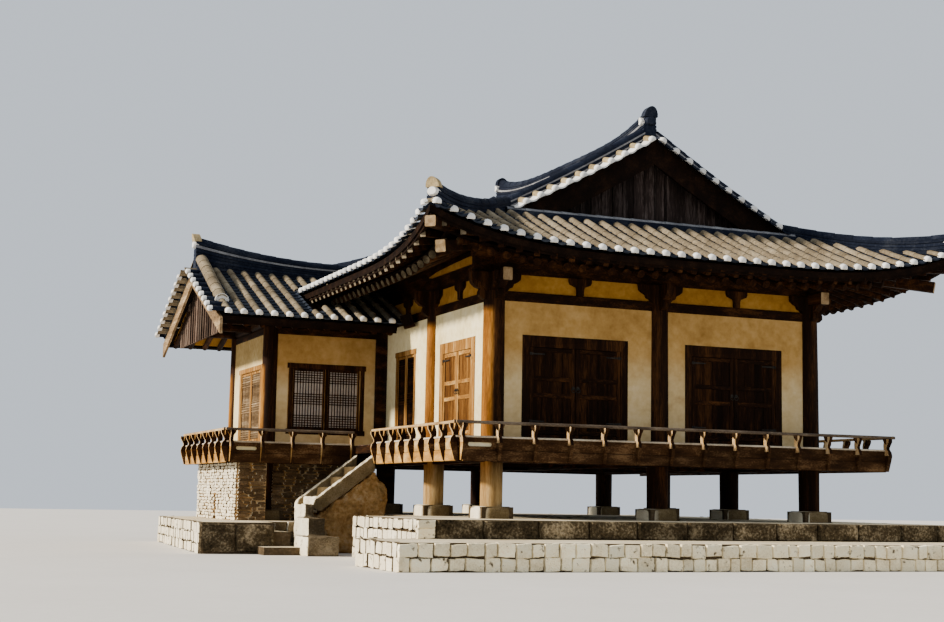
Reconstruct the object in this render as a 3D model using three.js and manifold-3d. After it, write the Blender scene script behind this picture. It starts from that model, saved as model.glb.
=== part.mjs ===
// A Korean timber house with tiled roofs, in millimetres, +Z up.
//
// The main block has two bays across its front, which faces -Y, and three bays along each side.
// A one-bay wing stands out to the left of the two rear bays. A veranda with a railing runs round
// the front and the sides, raised on posts that stand on stone bases. The main roof is hipped at
// the eaves and gabled above, with its ridge along Y. The wing has a plain gabled roof with its
// ridge along X. The origin is under the front left corner post, on the ground.

import * as THREE from 'three';
import { mergeVertices } from 'three/addons/utils/BufferGeometryUtils.js';
import Module from 'manifold-3d';

const wasm = await Module();
wasm.setup();

// Driving dimensions: the plan, by the centres of the posts
const FRONT_BAY = 2780;
const SIDE_BAY = 2400;
const WING_BAY = 2164;
const WIDTH = 2 * FRONT_BAY;
const DEPTH = 3 * SIDE_BAY;
const WING_FRONT = 2 * SIDE_BAY;
const GAP = 0.3;

// Driving dimensions: the heights above the ground
const LOWER_STEP_TOP = 360;
const PLINTH_TOP = 620;
const WING_PLINTH_TOP = 480;
const BASE_STONE_HEIGHT = 170;
const APRON_BOTTOM = 1430;
const APRON_TOP = 1780;
const FLOOR_TOP = 1750;
const RAIL_TOP = 2000;
const HEAD_BEAM_BOTTOM = 3850;
const HEAD_BEAM_TOP = 4000;
const BAND_TOP = 4260;
const PURLIN_TOP = 4740;
const WING_HEAD_BOTTOM = 3680;
const WING_HEAD_TOP = 3800;
const WING_PURLIN_TOP = 4000;

// Driving dimensions: timber and walls
const POST_RADIUS = 165;
const WING_POST_RADIUS = 135;
const WALL = 140;
const FLOOR_THICK = 110;
const FLOOR_BEAM = 200;
const VERANDA = 860;
const RAIL_OUT = 900;

// Colours, close to those of the real materials
const LOOK = {
  stone: { color: 0xb9ac92, roughness: 0.95 },
  timber: { color: 0x4a2c17, roughness: 0.75 },
  boards: { color: 0x5b4230, roughness: 0.85 },
  plaster: { color: 0xc9a468, roughness: 0.95 },
  tiles: { color: 0x33363b, roughness: 0.8 },
  paper: { color: 0xb9a88c, roughness: 0.9 },
};
const MATERIALS = {};
for (const [name, look] of Object.entries(LOOK)) {
  MATERIALS[name] = new THREE.MeshStandardMaterial({ ...look, metalness: 0 });
}

const house = new THREE.Group();
house.name = 'hanok_house';

// Closed three.js geometry as a solid for joining and cutting
function solid(geometry) {
  const bare = geometry.clone();
  bare.deleteAttribute('normal');
  bare.deleteAttribute('uv');
  const merged = mergeVertices(bare, 0.001);
  return new wasm.Manifold(new wasm.Mesh({
    numProp: 3,
    vertProperties: new Float32Array(merged.attributes.position.array),
    triVerts: new Uint32Array(merged.index.array),
  }));
}

function add(name, shape, material) {
  const mesh = shape.getMesh();
  const geometry = new THREE.BufferGeometry();
  geometry.setAttribute('position', new THREE.BufferAttribute(new Float32Array(mesh.vertProperties), 3));
  geometry.setIndex(new THREE.BufferAttribute(new Uint32Array(mesh.triVerts), 1));
  geometry.computeVertexNormals();
  const piece = new THREE.Mesh(geometry, MATERIALS[material]);
  piece.name = name;
  house.add(piece);
}

function join(pieces) {
  return pieces.reduce((whole, piece) => whole.add(piece));
}

function cut(shape, tools) {
  return tools.reduce((rest, tool) => rest.subtract(tool), shape);
}

function box(x0, x1, y0, y1, z0, z1) {
  const geometry = new THREE.BoxGeometry(x1 - x0, y1 - y0, z1 - z0);
  geometry.translate((x0 + x1) / 2, (y0 + y1) / 2, (z0 + z1) / 2);
  return solid(geometry);
}

// A round log from one point to another
function log(from, to, radius, sides) {
  const a = new THREE.Vector3(...from);
  const b = new THREE.Vector3(...to);
  const along = b.clone().sub(a);
  const geometry = new THREE.CylinderGeometry(radius, radius, along.length(), sides);
  const turn = new THREE.Quaternion().setFromUnitVectors(
    new THREE.Vector3(0, 1, 0),
    along.clone().normalize(),
  );
  geometry.applyQuaternion(turn);
  geometry.translate((a.x + b.x) / 2, (a.y + b.y) / 2, (a.z + b.z) / 2);
  return solid(geometry);
}

function outline(points) {
  return new THREE.Shape(points.map(([u, v]) => new THREE.Vector2(u, v)));
}

// Prisms: an outline in two axes, run along the third
function prismXY(points, z0, z1) {
  const geometry = new THREE.ExtrudeGeometry(outline(points), { depth: z1 - z0, bevelEnabled: false });
  return solid(geometry.translate(0, 0, z0));
}

function prismXZ(points, y0, y1) {
  const geometry = new THREE.ExtrudeGeometry(outline(points), { depth: y1 - y0, bevelEnabled: false });
  return solid(geometry.rotateX(Math.PI / 2).translate(0, y1, 0));
}

function prismYZ(points, x0, x1) {
  const geometry = new THREE.ExtrudeGeometry(outline(points), { depth: x1 - x0, bevelEnabled: false });
  const turn = new THREE.Matrix4().set(0, 0, 1, 0, 1, 0, 0, 0, 0, 1, 0, 0, 0, 0, 0, 1);
  return solid(geometry.applyMatrix4(turn).translate(x0, 0, 0));
}

// A sheet of upright thickness under a grid of top points, which may carry a depth of their own.
// A closed grid is a ring.
function sheet(grid, thickness, closed = false) {
  const rows = grid.length;
  const columns = grid[0].length;
  const positions = [];
  for (const under of [0, 1]) {
    for (const row of grid) {
      for (const [x, y, z, depth = thickness] of row) positions.push(x, y, z - under * depth);
    }
  }
  const at = (i, j, under) => (under ? rows * columns : 0) + i * columns + (j % columns);
  const faces = [];
  const quad = (a, b, c, d) => faces.push(a, b, c, a, c, d);
  const spans = closed ? columns : columns - 1;
  for (let j = 0; j < spans; j += 1) {
    for (let i = 0; i < rows - 1; i += 1) {
      quad(at(i, j, 0), at(i, j + 1, 0), at(i + 1, j + 1, 0), at(i + 1, j, 0));
      quad(at(i, j, 1), at(i + 1, j, 1), at(i + 1, j + 1, 1), at(i, j + 1, 1));
    }
    quad(at(0, j, 0), at(0, j, 1), at(0, j + 1, 1), at(0, j + 1, 0));
    quad(at(rows - 1, j, 0), at(rows - 1, j + 1, 0), at(rows - 1, j + 1, 1), at(rows - 1, j, 1));
  }
  if (!closed) {
    for (let i = 0; i < rows - 1; i += 1) {
      quad(at(i, 0, 0), at(i + 1, 0, 0), at(i + 1, 0, 1), at(i, 0, 1));
      quad(at(i, spans, 0), at(i, spans, 1), at(i + 1, spans, 1), at(i + 1, spans, 0));
    }
  }
  const geometry = new THREE.BufferGeometry();
  geometry.setAttribute('position', new THREE.BufferAttribute(new Float32Array(positions), 3));
  geometry.setIndex(faces);
  return solid(geometry);
}

// Posts: main ones on a grid of bays, and two slimmer ones for the wing
const BASE_TOP = PLINTH_TOP + BASE_STONE_HEIGHT;
const WING_BASE_TOP = WING_PLINTH_TOP + BASE_STONE_HEIGHT;
const POST_SIDES = 12;
const STONE_HALF = 250;
const MAIN_POSTS = [];
for (const x of [0, FRONT_BAY, WIDTH]) {
  for (const y of [0, SIDE_BAY, 2 * SIDE_BAY, DEPTH]) {
    const inside = x === FRONT_BAY && y > 0 && y < DEPTH;
    if (!inside) MAIN_POSTS.push([x, y]);
  }
}
const WING_POSTS = [[-WING_BAY, WING_FRONT], [-WING_BAY, DEPTH]];

function mainPost(x, y, grow = 0) {
  return log([x, y, BASE_TOP + GAP - grow], [x, y, HEAD_BEAM_TOP + grow], POST_RADIUS + grow, POST_SIDES);
}

function wingPost(x, y, grow = 0) {
  const foot = [x, y, WING_BASE_TOP + GAP - grow];
  return log(foot, [x, y, WING_HEAD_TOP + grow], WING_POST_RADIUS + grow, POST_SIDES);
}

const AROUND_POSTS = [
  ...MAIN_POSTS.map(([x, y]) => mainPost(x, y, GAP)),
  ...WING_POSTS.map(([x, y]) => wingPost(x, y, GAP)),
];

// The stone platform, in two steps, with the base stones of the main posts
const DRIP = 1660;
const PLINTH_FRONT = -1500;
const PLINTH_RIGHT = WIDTH + DRIP;
const PLINTH_BACK = DEPTH + 1000;
const PLINTH_LEFT_INNER = -600;
const STEP_FRONT = -3100;
const STEP_LEFT = -2500;

function baseStones(posts, bottom, top) {
  const half = STONE_HALF;
  return posts.map(([x, y]) => box(x - half, x + half, y - half, y + half, bottom, top));
}

function mainPlinth() {
  const upper = prismXY([
    [-DRIP, PLINTH_FRONT], [PLINTH_RIGHT, PLINTH_FRONT], [PLINTH_RIGHT, PLINTH_BACK],
    [PLINTH_LEFT_INNER, PLINTH_BACK], [PLINTH_LEFT_INNER, 1300], [-DRIP, 1300],
  ], 0, PLINTH_TOP);
  const lower = box(STEP_LEFT, PLINTH_RIGHT, STEP_FRONT, PLINTH_FRONT + 50, 0, LOWER_STEP_TOP);
  return join([upper, lower, ...baseStones(MAIN_POSTS, PLINTH_TOP - 50, BASE_TOP)]);
}
add('main_plinth', mainPlinth(), 'stone');

// The wing's own platform, with two slabs that step up to it
const WING_PLINTH_LEFT = -3750;
const WING_PLINTH_FRONT = 2400;
const WING_PLINTH_RIGHT = PLINTH_LEFT_INNER - GAP;

function wingPlinth() {
  const terrace = prismXY([
    [WING_PLINTH_LEFT, WING_PLINTH_FRONT], [-2620, WING_PLINTH_FRONT], [-2620, 3300], [-1900, 3300],
    [-1900, 3950], [WING_PLINTH_RIGHT, 3950], [WING_PLINTH_RIGHT, PLINTH_BACK],
    [WING_PLINTH_LEFT + 450, PLINTH_BACK],
  ], 0, WING_PLINTH_TOP);
  const slabs = [
    box(-2640, -2345, 2450, 3320, 0, 340),
    box(-2900, -2345, 1900, 2470, 0, 120),
  ];
  return join([terrace, ...slabs, ...baseStones(WING_POSTS, WING_PLINTH_TOP - 50, WING_BASE_TOP)]);
}
add('wing_plinth', wingPlinth(), 'stone');

// The stone stair up to the veranda: a rough mass, a flight on it, and a sloping slab each side
const STAIR_TOP_X = -900 - GAP;
const STAIR_FOOT_X = -1930;
const STAIR_TOP_Z = 1590;
const STAIR_FOOT_Z = 815;
const STAIR_SLOPE = (STAIR_TOP_Z - STAIR_FOOT_Z) / (STAIR_TOP_X - STAIR_FOOT_X);
const STAIR_FRONT = 2720;
const STAIR_BACK = 3820;
const SLAB_DEPTH = 270;
const SLAB_THICK = 160;
const STAIR_RISERS = 4;

// Height of the underside of the flight and of its slabs
function stairUnderside(x) {
  return STAIR_FOOT_Z + STAIR_SLOPE * (x - STAIR_FOOT_X) - SLAB_DEPTH;
}

function stairSlab(y0) {
  const nose = STAIR_FOOT_X + 150;
  return prismXZ([
    [STAIR_FOOT_X, STAIR_FOOT_Z - 110], [nose, stairUnderside(nose)],
    [STAIR_TOP_X, stairUnderside(STAIR_TOP_X)],
    [STAIR_TOP_X, STAIR_TOP_Z], [STAIR_FOOT_X + 20, STAIR_FOOT_Z + 15],
  ], y0, y0 + SLAB_THICK);
}
add('stair_parapet_near', stairSlab(STAIR_FRONT), 'stone');
add('stair_parapet_far', stairSlab(STAIR_BACK - SLAB_THICK), 'stone');

function stairFlight() {
  const foot = STAIR_FOOT_X + 110;
  const points = [[foot, stairUnderside(foot)], [STAIR_TOP_X, stairUnderside(STAIR_TOP_X)]];
  const tread = (STAIR_TOP_X - foot) / STAIR_RISERS;
  const first = 900;
  const rise = (FLOOR_TOP - 190 - first) / (STAIR_RISERS - 1);
  for (let k = STAIR_RISERS - 1; k >= 0; k -= 1) {
    points.push([foot + tread * (k + 1), first + rise * k], [foot + tread * k, first + rise * k]);
  }
  return prismXZ(points, STAIR_FRONT + SLAB_THICK + GAP, STAIR_BACK - SLAB_THICK - GAP);
}
add('stair_flight', stairFlight(), 'stone');

function stairMass() {
  const left = -1850;
  const right = -660;
  const seat = (x) => stairUnderside(x) - 2 * GAP;
  return prismXZ([
    [left + 130, 0], [right - 60, 0], [right, 700], [right - 20, 1120], [STAIR_TOP_X, seat(STAIR_TOP_X)],
    [left, seat(left)], [left, 420],
  ], STAIR_FRONT + 40, STAIR_BACK - 40);
}
add('stair_mass', stairMass(), 'stone');

// Three blocks that step up from the yard to the foot of the stair
function entrySteps() {
  return join([
    box(-2340, -1840, 1500, 2240, 0, 290),
    box(-2140, -1860, 2200, 2900, 0, 560),
    box(-2080, STAIR_FOOT_X - GAP, 2620, 3250, 0, 770),
  ]);
}
add('entry_steps', entrySteps(), 'stone');

// Timber frames: posts tied by a head beam, with bracket blocks above that carry the purlins
const BEAM_HALF = 70;
const BRACKET_TOP = BAND_TOP - GAP;
const BAND_HALF = 50;

// The block at a post or in mid bay, on the outer side of the wall. side is the outward normal.
function bracket(x, y, side, halfWidth, reach, bottom) {
  const inner = BAND_HALF + GAP;
  const [nx, ny] = side;
  const across = nx !== 0;
  const lo = Math.min((nx + ny) * inner, (nx + ny) * reach);
  const hi = Math.max((nx + ny) * inner, (nx + ny) * reach);
  return across
    ? box(x + lo, x + hi, y - halfWidth, y + halfWidth, bottom, BRACKET_TOP)
    : box(x - halfWidth, x + halfWidth, y + lo, y + hi, bottom, BRACKET_TOP);
}

function postBracket(x, y, side) {
  return bracket(x, y, side, 150, 200, HEAD_BEAM_BOTTOM);
}

function bayBracket(x, y, side) {
  return bracket(x, y, side, 120, 120, HEAD_BEAM_TOP - 30);
}

function beamX(y, x0, x1, z0 = HEAD_BEAM_BOTTOM, z1 = HEAD_BEAM_TOP) {
  return box(x0, x1, y - BEAM_HALF, y + BEAM_HALF, z0, z1);
}

function beamY(x, y0, y1, z0 = HEAD_BEAM_BOTTOM, z1 = HEAD_BEAM_TOP) {
  return box(x - BEAM_HALF, x + BEAM_HALF, y0, y1, z0, z1);
}

function acrossFrame(y, side) {
  const pieces = [beamX(y, 0, WIDTH)];
  for (const x of [0, FRONT_BAY, WIDTH]) pieces.push(mainPost(x, y), postBracket(x, y, side));
  for (const x of [FRONT_BAY / 2, 1.5 * FRONT_BAY]) pieces.push(bayBracket(x, y, side));
  return join(pieces);
}
add('front_frame', acrossFrame(0, [0, -1]), 'timber');
add('back_frame', acrossFrame(DEPTH, [0, 1]), 'timber');

function sideFrame(x, side) {
  const ends = [mainPost(x, 0, GAP), mainPost(x, DEPTH, GAP)];
  const pieces = [cut(beamY(x, 0, DEPTH), ends)];
  for (const y of [SIDE_BAY, 2 * SIDE_BAY]) pieces.push(mainPost(x, y), postBracket(x, y, side));
  for (const k of [0.5, 1.5, 2.5]) pieces.push(bayBracket(x, k * SIDE_BAY, side));
  return join(pieces);
}
add('left_frame', sideFrame(0, [-1, 0]), 'timber');
add('right_frame', sideFrame(WIDTH, [1, 0]), 'timber');

function wingFrame() {
  const ends = [mainPost(0, WING_FRONT, GAP), mainPost(0, DEPTH, GAP)];
  const beams = join([
    beamX(WING_FRONT, -WING_BAY, 0, WING_HEAD_BOTTOM, WING_HEAD_TOP),
    beamX(DEPTH, -WING_BAY, 0, WING_HEAD_BOTTOM, WING_HEAD_TOP),
    beamY(-WING_BAY, WING_FRONT, DEPTH, WING_HEAD_BOTTOM, WING_HEAD_TOP),
  ]);
  return join([cut(beams, ends), ...WING_POSTS.map(([x, y]) => wingPost(x, y))]);
}
add('wing_frame', wingFrame(), 'timber');

// Floors, with the veranda boards and the beams under them. Every post passes through.
const FLOOR_BOTTOM = FLOOR_TOP - FLOOR_THICK;
const LANDING_BACK = WING_FRONT - VERANDA;

function mainFloor() {
  const slab = prismXY([
    [-VERANDA, -VERANDA], [WIDTH + VERANDA, -VERANDA], [WIDTH + VERANDA, DEPTH + 100],
    [-100, DEPTH + 100], [-100, WING_FRONT - 100], [-VERANDA, WING_FRONT - 100],
  ], FLOOR_BOTTOM, FLOOR_TOP);
  const beams = [];
  const low = FLOOR_BOTTOM - FLOOR_BEAM;
  for (const y of [0, SIDE_BAY, 2 * SIDE_BAY, DEPTH]) {
    const right = y === DEPTH ? WIDTH + 100 : WIDTH + VERANDA - 60;
    const left = y < WING_FRONT ? -VERANDA + 60 : -80;
    beams.push(box(left, right, y - 80, y + 80, low, FLOOR_BOTTOM + 10));
  }
  for (const x of [0, FRONT_BAY, WIDTH]) {
    beams.push(box(x - 80, x + 80, -VERANDA + 60, DEPTH, low, FLOOR_BOTTOM + 10));
  }
  return cut(join([slab, ...beams]), AROUND_POSTS);
}
add('main_floor', mainFloor(), 'boards');

function wingFloor() {
  const edge = -WING_BAY - VERANDA;
  const slab = prismXY([
    [edge, LANDING_BACK], [-VERANDA - GAP, LANDING_BACK], [-VERANDA - GAP, WING_FRONT - 100 + GAP],
    [-100 - GAP, WING_FRONT - 100 + GAP], [-100 - GAP, DEPTH + 100], [edge, DEPTH + 100],
  ], FLOOR_BOTTOM, FLOOR_TOP);
  const low = FLOOR_BOTTOM - FLOOR_BEAM;
  const beams = [
    box(-WING_BAY - 70, -WING_BAY + 70, LANDING_BACK + 60, DEPTH + 60, low, FLOOR_BOTTOM + 10),
    box(edge + 60, -120, WING_FRONT - 70, WING_FRONT + 70, low, FLOOR_BOTTOM + 10),
    box(edge + 60, -120, DEPTH - 70, DEPTH + 70, low, FLOOR_BOTTOM + 10),
  ];
  return cut(join([slab, ...beams]), AROUND_POSTS);
}
add('wing_floor', wingFloor(), 'boards');

// Rough masonry under the wing: a thick pier under the veranda's end, and walls between the posts
const MASONRY_TOP = FLOOR_BOTTOM - FLOOR_BEAM - GAP;
const PIER_LEFT = -2800;
const PIER_RIGHT = -2310;

function wingStoneTools() {
  const half = STONE_HALF + GAP;
  return WING_POSTS.map(([x, y]) => box(x - half, x + half, y - half, y + half, 0, WING_BASE_TOP + GAP));
}

function fireWall() {
  const pier = box(PIER_LEFT, PIER_RIGHT, 4210, DEPTH + 80, WING_PLINTH_TOP + GAP, MASONRY_TOP);
  const flue = box(PIER_LEFT - 10, PIER_LEFT + 330, 5700, 5840, WING_PLINTH_TOP, 900);
  return cut(pier, [flue, ...AROUND_POSTS, ...wingStoneTools()]);
}
add('fire_wall', fireWall(), 'stone');

function wingBaseWall() {
  const bottom = WING_PLINTH_TOP + GAP;
  const walls = join([
    box(-2150, -620, WING_FRONT - 90, WING_FRONT + 210, bottom, MASONRY_TOP),
    box(-2255, -1955, WING_FRONT, DEPTH, bottom, MASONRY_TOP),
    box(-2150, -620, DEPTH - 210, DEPTH + 90, bottom, MASONRY_TOP),
  ]);
  return cut(walls, [...AROUND_POSTS, ...wingStoneTools()]);
}
add('wing_base_wall', wingBaseWall(), 'stone');

// Railings: an apron board, balusters that lean out to a lotus head, and a round top rail
const APRON_THICK = 40;
const RAIL_RADIUS = 25;
const BALUSTER_PITCH = 540;
const BALUSTER_WIDTH = 50;
const BALUSTER_PROFILE = [[0, 1450], [42, 1450], [80, 1690], [36, 1800], [80, 1955], [15, 1955], [0, 1860]];

// Built along +X from the origin with its outer face at y = 0 and the house behind it, at +Y
function railing(length, pitch = BALUSTER_PITCH) {
  const railMiddle = RAIL_TOP - RAIL_RADIUS;
  const pieces = [
    box(0, length, 0, APRON_THICK - GAP, APRON_BOTTOM, APRON_TOP),
    log([0, -RAIL_RADIUS, railMiddle], [length, -RAIL_RADIUS, railMiddle], RAIL_RADIUS, 8),
  ];
  const count = Math.max(2, Math.round((length - BALUSTER_WIDTH) / pitch));
  for (let k = 0; k <= count; k += 1) {
    const x = ((length - BALUSTER_WIDTH) * k) / count;
    pieces.push(prismYZ(BALUSTER_PROFILE.map(([out, z]) => [20 - out, z]), x, x + BALUSTER_WIDTH));
  }
  return join(pieces);
}

// Turns a railing so that it runs from a start point along a compass direction in degrees
function placed(shape, x, y, degrees) {
  return shape.rotate([0, 0, degrees]).translate([x, y, 0]);
}

const EDGE = VERANDA + APRON_THICK;
const MITRE = 12;
add('front_railing', placed(railing(WIDTH + 2 * VERANDA), -VERANDA, -EDGE, 0), 'timber');
const STAIR_HEAD = box(-1300, -EDGE, STAIR_FRONT - 10, 3100, 1300, STAIR_TOP_Z + 30);
const LANDING_APRON = box(-EDGE, -VERANDA - GAP, 2990, LANDING_BACK - GAP, APRON_BOTTOM, FLOOR_TOP);
const leftRailing = placed(railing(3860 - MITRE, 480), -EDGE, 3000, -90);
add('left_railing', cut(leftRailing, [STAIR_HEAD]).add(LANDING_APRON), 'timber');
const rightRail = railing(DEPTH + 100 + VERANDA - MITRE);
add('right_railing', placed(rightRail, WIDTH + EDGE, -VERANDA + MITRE, 90), 'timber');
const WING_EDGE = -WING_BAY - EDGE;
const wingFrontRail = railing(WING_BAY - APRON_THICK - GAP);
const wingFrontAt = [-WING_BAY - VERANDA, LANDING_BACK - APRON_THICK];
add('wing_front_railing', placed(wingFrontRail, ...wingFrontAt, 0), 'timber');
const wingLeftRail = railing(DEPTH + 100 - LANDING_BACK - MITRE, 480);
add('wing_left_railing', placed(wingLeftRail, WING_EDGE, DEPTH + 100, -90), 'timber');

// Plaster walls, each from post to post and from the floor to the head beam, with its opening cut
const WALL_BOTTOM = FLOOR_TOP + GAP;
const WALL_TOP = HEAD_BEAM_BOTTOM - GAP;
const WING_WALL_TOP = WING_HEAD_BOTTOM - GAP;

// opening is [low edge, high edge, bottom, top] along the wall
function wallX(y, x0, x1, top, opening) {
  const slab = box(x0, x1, y - WALL / 2, y + WALL / 2, WALL_BOTTOM, top);
  const tools = [...AROUND_POSTS];
  if (opening) {
    const [a, b, low, high] = opening;
    tools.push(box(a - GAP, b + GAP, y - WALL, y + WALL, low - GAP, high + GAP));
  }
  return cut(slab, tools);
}

function wallY(x, y0, y1, top, opening) {
  const slab = box(x - WALL / 2, x + WALL / 2, y0, y1, WALL_BOTTOM, top);
  const tools = [...AROUND_POSTS];
  if (opening) {
    const [a, b, low, high] = opening;
    tools.push(box(x - WALL, x + WALL, a - GAP, b + GAP, low - GAP, high + GAP));
  }
  return cut(slab, tools);
}

// Openings, by the outer edges of their frames
const DOOR_SILL = FLOOR_TOP + GAP;
const FRONT_DOORS = [[440, 2220], [3230, 5010]];
const FRONT_DOOR_TOP = 3355;
const SIDE_DOOR = [540, 2040];
const SIDE_DOOR_TOP = 3365;
const SIDE_WINDOW = [3170, 4170, DOOR_SILL, 3400];
const WING_FRONT_WINDOW = [-1850, -460, 1960, 3190];
const WING_SIDE_WINDOW = [5030, 6670, DOOR_SILL, 3170];

add('front_wall_1', wallX(0, 0, FRONT_BAY, WALL_TOP, [...FRONT_DOORS[0], 0, FRONT_DOOR_TOP]), 'plaster');
add('front_wall_2', wallX(0, FRONT_BAY, WIDTH, WALL_TOP, [...FRONT_DOORS[1], 0, FRONT_DOOR_TOP]), 'plaster');
add('left_wall_1', wallY(0, 0, SIDE_BAY, WALL_TOP, [...SIDE_DOOR, 0, SIDE_DOOR_TOP]), 'plaster');
add('left_wall_2', wallY(0, SIDE_BAY, 2 * SIDE_BAY, WALL_TOP, SIDE_WINDOW), 'plaster');
add('wing_front_wall', wallX(WING_FRONT, -WING_BAY, 0, WING_WALL_TOP, WING_FRONT_WINDOW), 'plaster');
add('wing_left_wall', wallY(-WING_BAY, WING_FRONT, DEPTH, WING_WALL_TOP, WING_SIDE_WINDOW), 'plaster');
add('wing_back_wall', wallX(DEPTH, -WING_BAY, 0, WING_WALL_TOP), 'plaster');
for (let k = 0; k < 3; k += 1) {
  add(`right_wall_${k + 1}`, wallY(WIDTH, k * SIDE_BAY, (k + 1) * SIDE_BAY, WALL_TOP), 'plaster');
}
for (let k = 0; k < 2; k += 1) {
  add(`back_wall_${k + 1}`, wallX(DEPTH, k * FRONT_BAY, (k + 1) * FRONT_BAY, WALL_TOP), 'plaster');
}

// Frames and leaves are drawn along +X with the outside at -Y, centred on the wall's middle
const FRAME_HALF = 75;
const JAMB = 120;
const SILL = 120;
const HEAD = 170;

// The pin hinges of a leaf, on the outer face: the frame's socket is below, the leaf's eye above it
const HINGE_OUT = 7;
const HINGE_RADIUS = 6;
const HINGE_PART = 40;
const HINGE_LEVELS = [2010, 3020];

function hingeParts(x, plateEnd, plateBack, lift) {
  const y = -FRAME_HALF - HINGE_OUT;
  return join(HINGE_LEVELS.map((level) => {
    const [z0, z1] = [level + lift, level + lift + HINGE_PART];
    const plate = box(Math.min(x, plateEnd), Math.max(x, plateEnd), y, plateBack, z0, z1);
    return log([x, y, z0], [x, y, z1], HINGE_RADIUS, 12).add(plate);
  }));
}

function doorFrame(width, bottom, top, jamb = JAMB) {
  const whole = box(0, width, -FRAME_HALF, FRAME_HALF, bottom, top);
  const hole = box(jamb, width - jamb, -FRAME_HALF - 10, FRAME_HALF + 10, bottom + SILL, top - HEAD);
  return join([
    cut(whole, [hole]),
    hingeParts(jamb + 3, jamb - 40, 1 - FRAME_HALF, 0),
    hingeParts(width - jamb - 3, width - jamb + 40, 1 - FRAME_HALF, 0),
  ]);
}

// A board leaf: stiles and rails round three panels
const LEAF_FRONT = -70;
const LEAF_BACK = -25;
const LEAF_CLEAR = 6;
const LEAF_MEET = 10;
const STILE = 65;

function boardLeaf(width, bottom, top) {
  const panel = box(20, width - 20, LEAF_FRONT + 14, LEAF_BACK - 14, bottom + 20, top - 20);
  const rail = (z) => box(0, width, LEAF_FRONT, LEAF_BACK, z, z + STILE);
  return join([
    panel,
    box(0, STILE, LEAF_FRONT, LEAF_BACK, bottom, top),
    box(width - STILE, width, LEAF_FRONT, LEAF_BACK, bottom, top),
    rail(bottom), rail(top - STILE), rail(2710 - STILE / 2), rail(2460 - STILE / 2),
  ]);
}

// A fixed lattice window: a frame with a middle post, and paper behind the bars
function latticeWindow(width, bottom, top, jamb) {
  const inner = [jamb, width - jamb, bottom + 90, top - 90];
  const hole = box(inner[0], inner[1], -FRAME_HALF - 10, FRAME_HALF + 10, inner[2], inner[3]);
  const paper = box(inner[0] - 5, inner[1] + 5, -35, -15, inner[2] - 5, inner[3] + 5);
  const middle = box(width / 2 - 45, width / 2 + 45, -60, -10, inner[2] - 5, inner[3] + 5);
  const whole = box(0, width, -FRAME_HALF, FRAME_HALF, bottom, top);
  return join([cut(whole, [hole]), paper, middle]);
}

const LEAF_BOTTOM = DOOR_SILL + SILL + LEAF_CLEAR;

// One doorway: its frame and its pair of leaves, turned to the wall it stands in
function doorway(name, x, y, degrees, width, top, jamb = JAMB) {
  add(`${name}_frame`, placed(doorFrame(width, DOOR_SILL, top, jamb), x, y, degrees), 'timber');
  const leaf = (width - 2 * jamb - 2 * LEAF_CLEAR - LEAF_MEET) / 2;
  const starts = { left_leaf: jamb + LEAF_CLEAR, right_leaf: jamb + LEAF_CLEAR + leaf + LEAF_MEET };
  for (const [side, start] of Object.entries(starts)) {
    const shape = boardLeaf(leaf, LEAF_BOTTOM, top - HEAD - LEAF_CLEAR).translate([start, 0, 0]);
    const left = side === 'left_leaf';
    const pin = left ? jamb + 3 : width - jamb - 3;
    const eyes = hingeParts(pin, left ? pin + 45 : pin - 45, LEAF_FRONT + 1, HINGE_PART + GAP);
    add(`${name}_${side}`, placed(shape.add(eyes), x, y, degrees), 'boards');
  }
}
const [DOOR_1, DOOR_2] = FRONT_DOORS;
doorway('front_door_1', DOOR_1[0], 0, 0, DOOR_1[1] - DOOR_1[0], FRONT_DOOR_TOP);
doorway('front_door_2', DOOR_2[0], 0, 0, DOOR_2[1] - DOOR_2[0], FRONT_DOOR_TOP);
doorway('side_door', 0, SIDE_DOOR[1], -90, SIDE_DOOR[1] - SIDE_DOOR[0], SIDE_DOOR_TOP, 150);

function windowIn(name, x, y, degrees, [a, b, low, high], jamb) {
  add(name, placed(latticeWindow(b - a, low, high, jamb), x, y, degrees), 'timber');
}
windowIn('side_window', 0, SIDE_WINDOW[1], -90, SIDE_WINDOW, 80);
windowIn('wing_front_window', WING_FRONT_WINDOW[0], WING_FRONT, 0, WING_FRONT_WINDOW, 90);
windowIn('wing_side_window', -WING_BAY, WING_SIDE_WINDOW[1], -90, WING_SIDE_WINDOW, 110);

// The plaster band over the head beams
const PURLIN_RADIUS = 130;
const PURLIN_END = 350;
const REAR_PURLIN_END = 180;
const PURLIN_MIDDLE = PURLIN_TOP - PURLIN_RADIUS;

function upperWall() {
  const half = BAND_HALF;
  const outer = box(-half, WIDTH + half, -half, DEPTH + half, HEAD_BEAM_TOP + GAP, BAND_TOP - GAP);
  const inner = box(half, WIDTH - half, half, DEPTH - half, HEAD_BEAM_TOP - 50, BAND_TOP + 50);
  return outer.subtract(inner);
}
add('main_upper_wall', upperWall(), 'plaster');

// The main roof's top surface. s is the level distance in from the eave, c that from the corner.
// The rear eave is shorter than the others, so it ends higher.
const EAVE_Z = 4385;
const OVERHANG = 1720;
const ROOF_LEFT = -OVERHANG;
const ROOF_RIGHT = WIDTH + OVERHANG;
const ROOF_FRONT = -OVERHANG;
const ROOF_BACK = 8350;
const ROOF_THICK = 220;
const HALF_SPAN = (ROOF_RIGHT - ROOF_LEFT) / 2;
const MIDDLE_Y = (ROOF_FRONT + ROOF_BACK) / 2;
const CORNER_LIFT = 520;
const LIFT_REACH = 3600;
const EAVE_INSET = 120;
const RIDGE_SAG = 60;
const SLOPE_AT_EAVE = 0.4;
const SLOPE_GROWTH = 2.5e-5;
const VERGE_FRONT = 150;
const VERGE_BACK = ROOF_FRONT + ROOF_BACK - VERGE_FRONT;
const HIP_DEPTH = 2200;
const REAR_RAISE = 200;
const REAR_RAISE_FROM = 4800;

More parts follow.
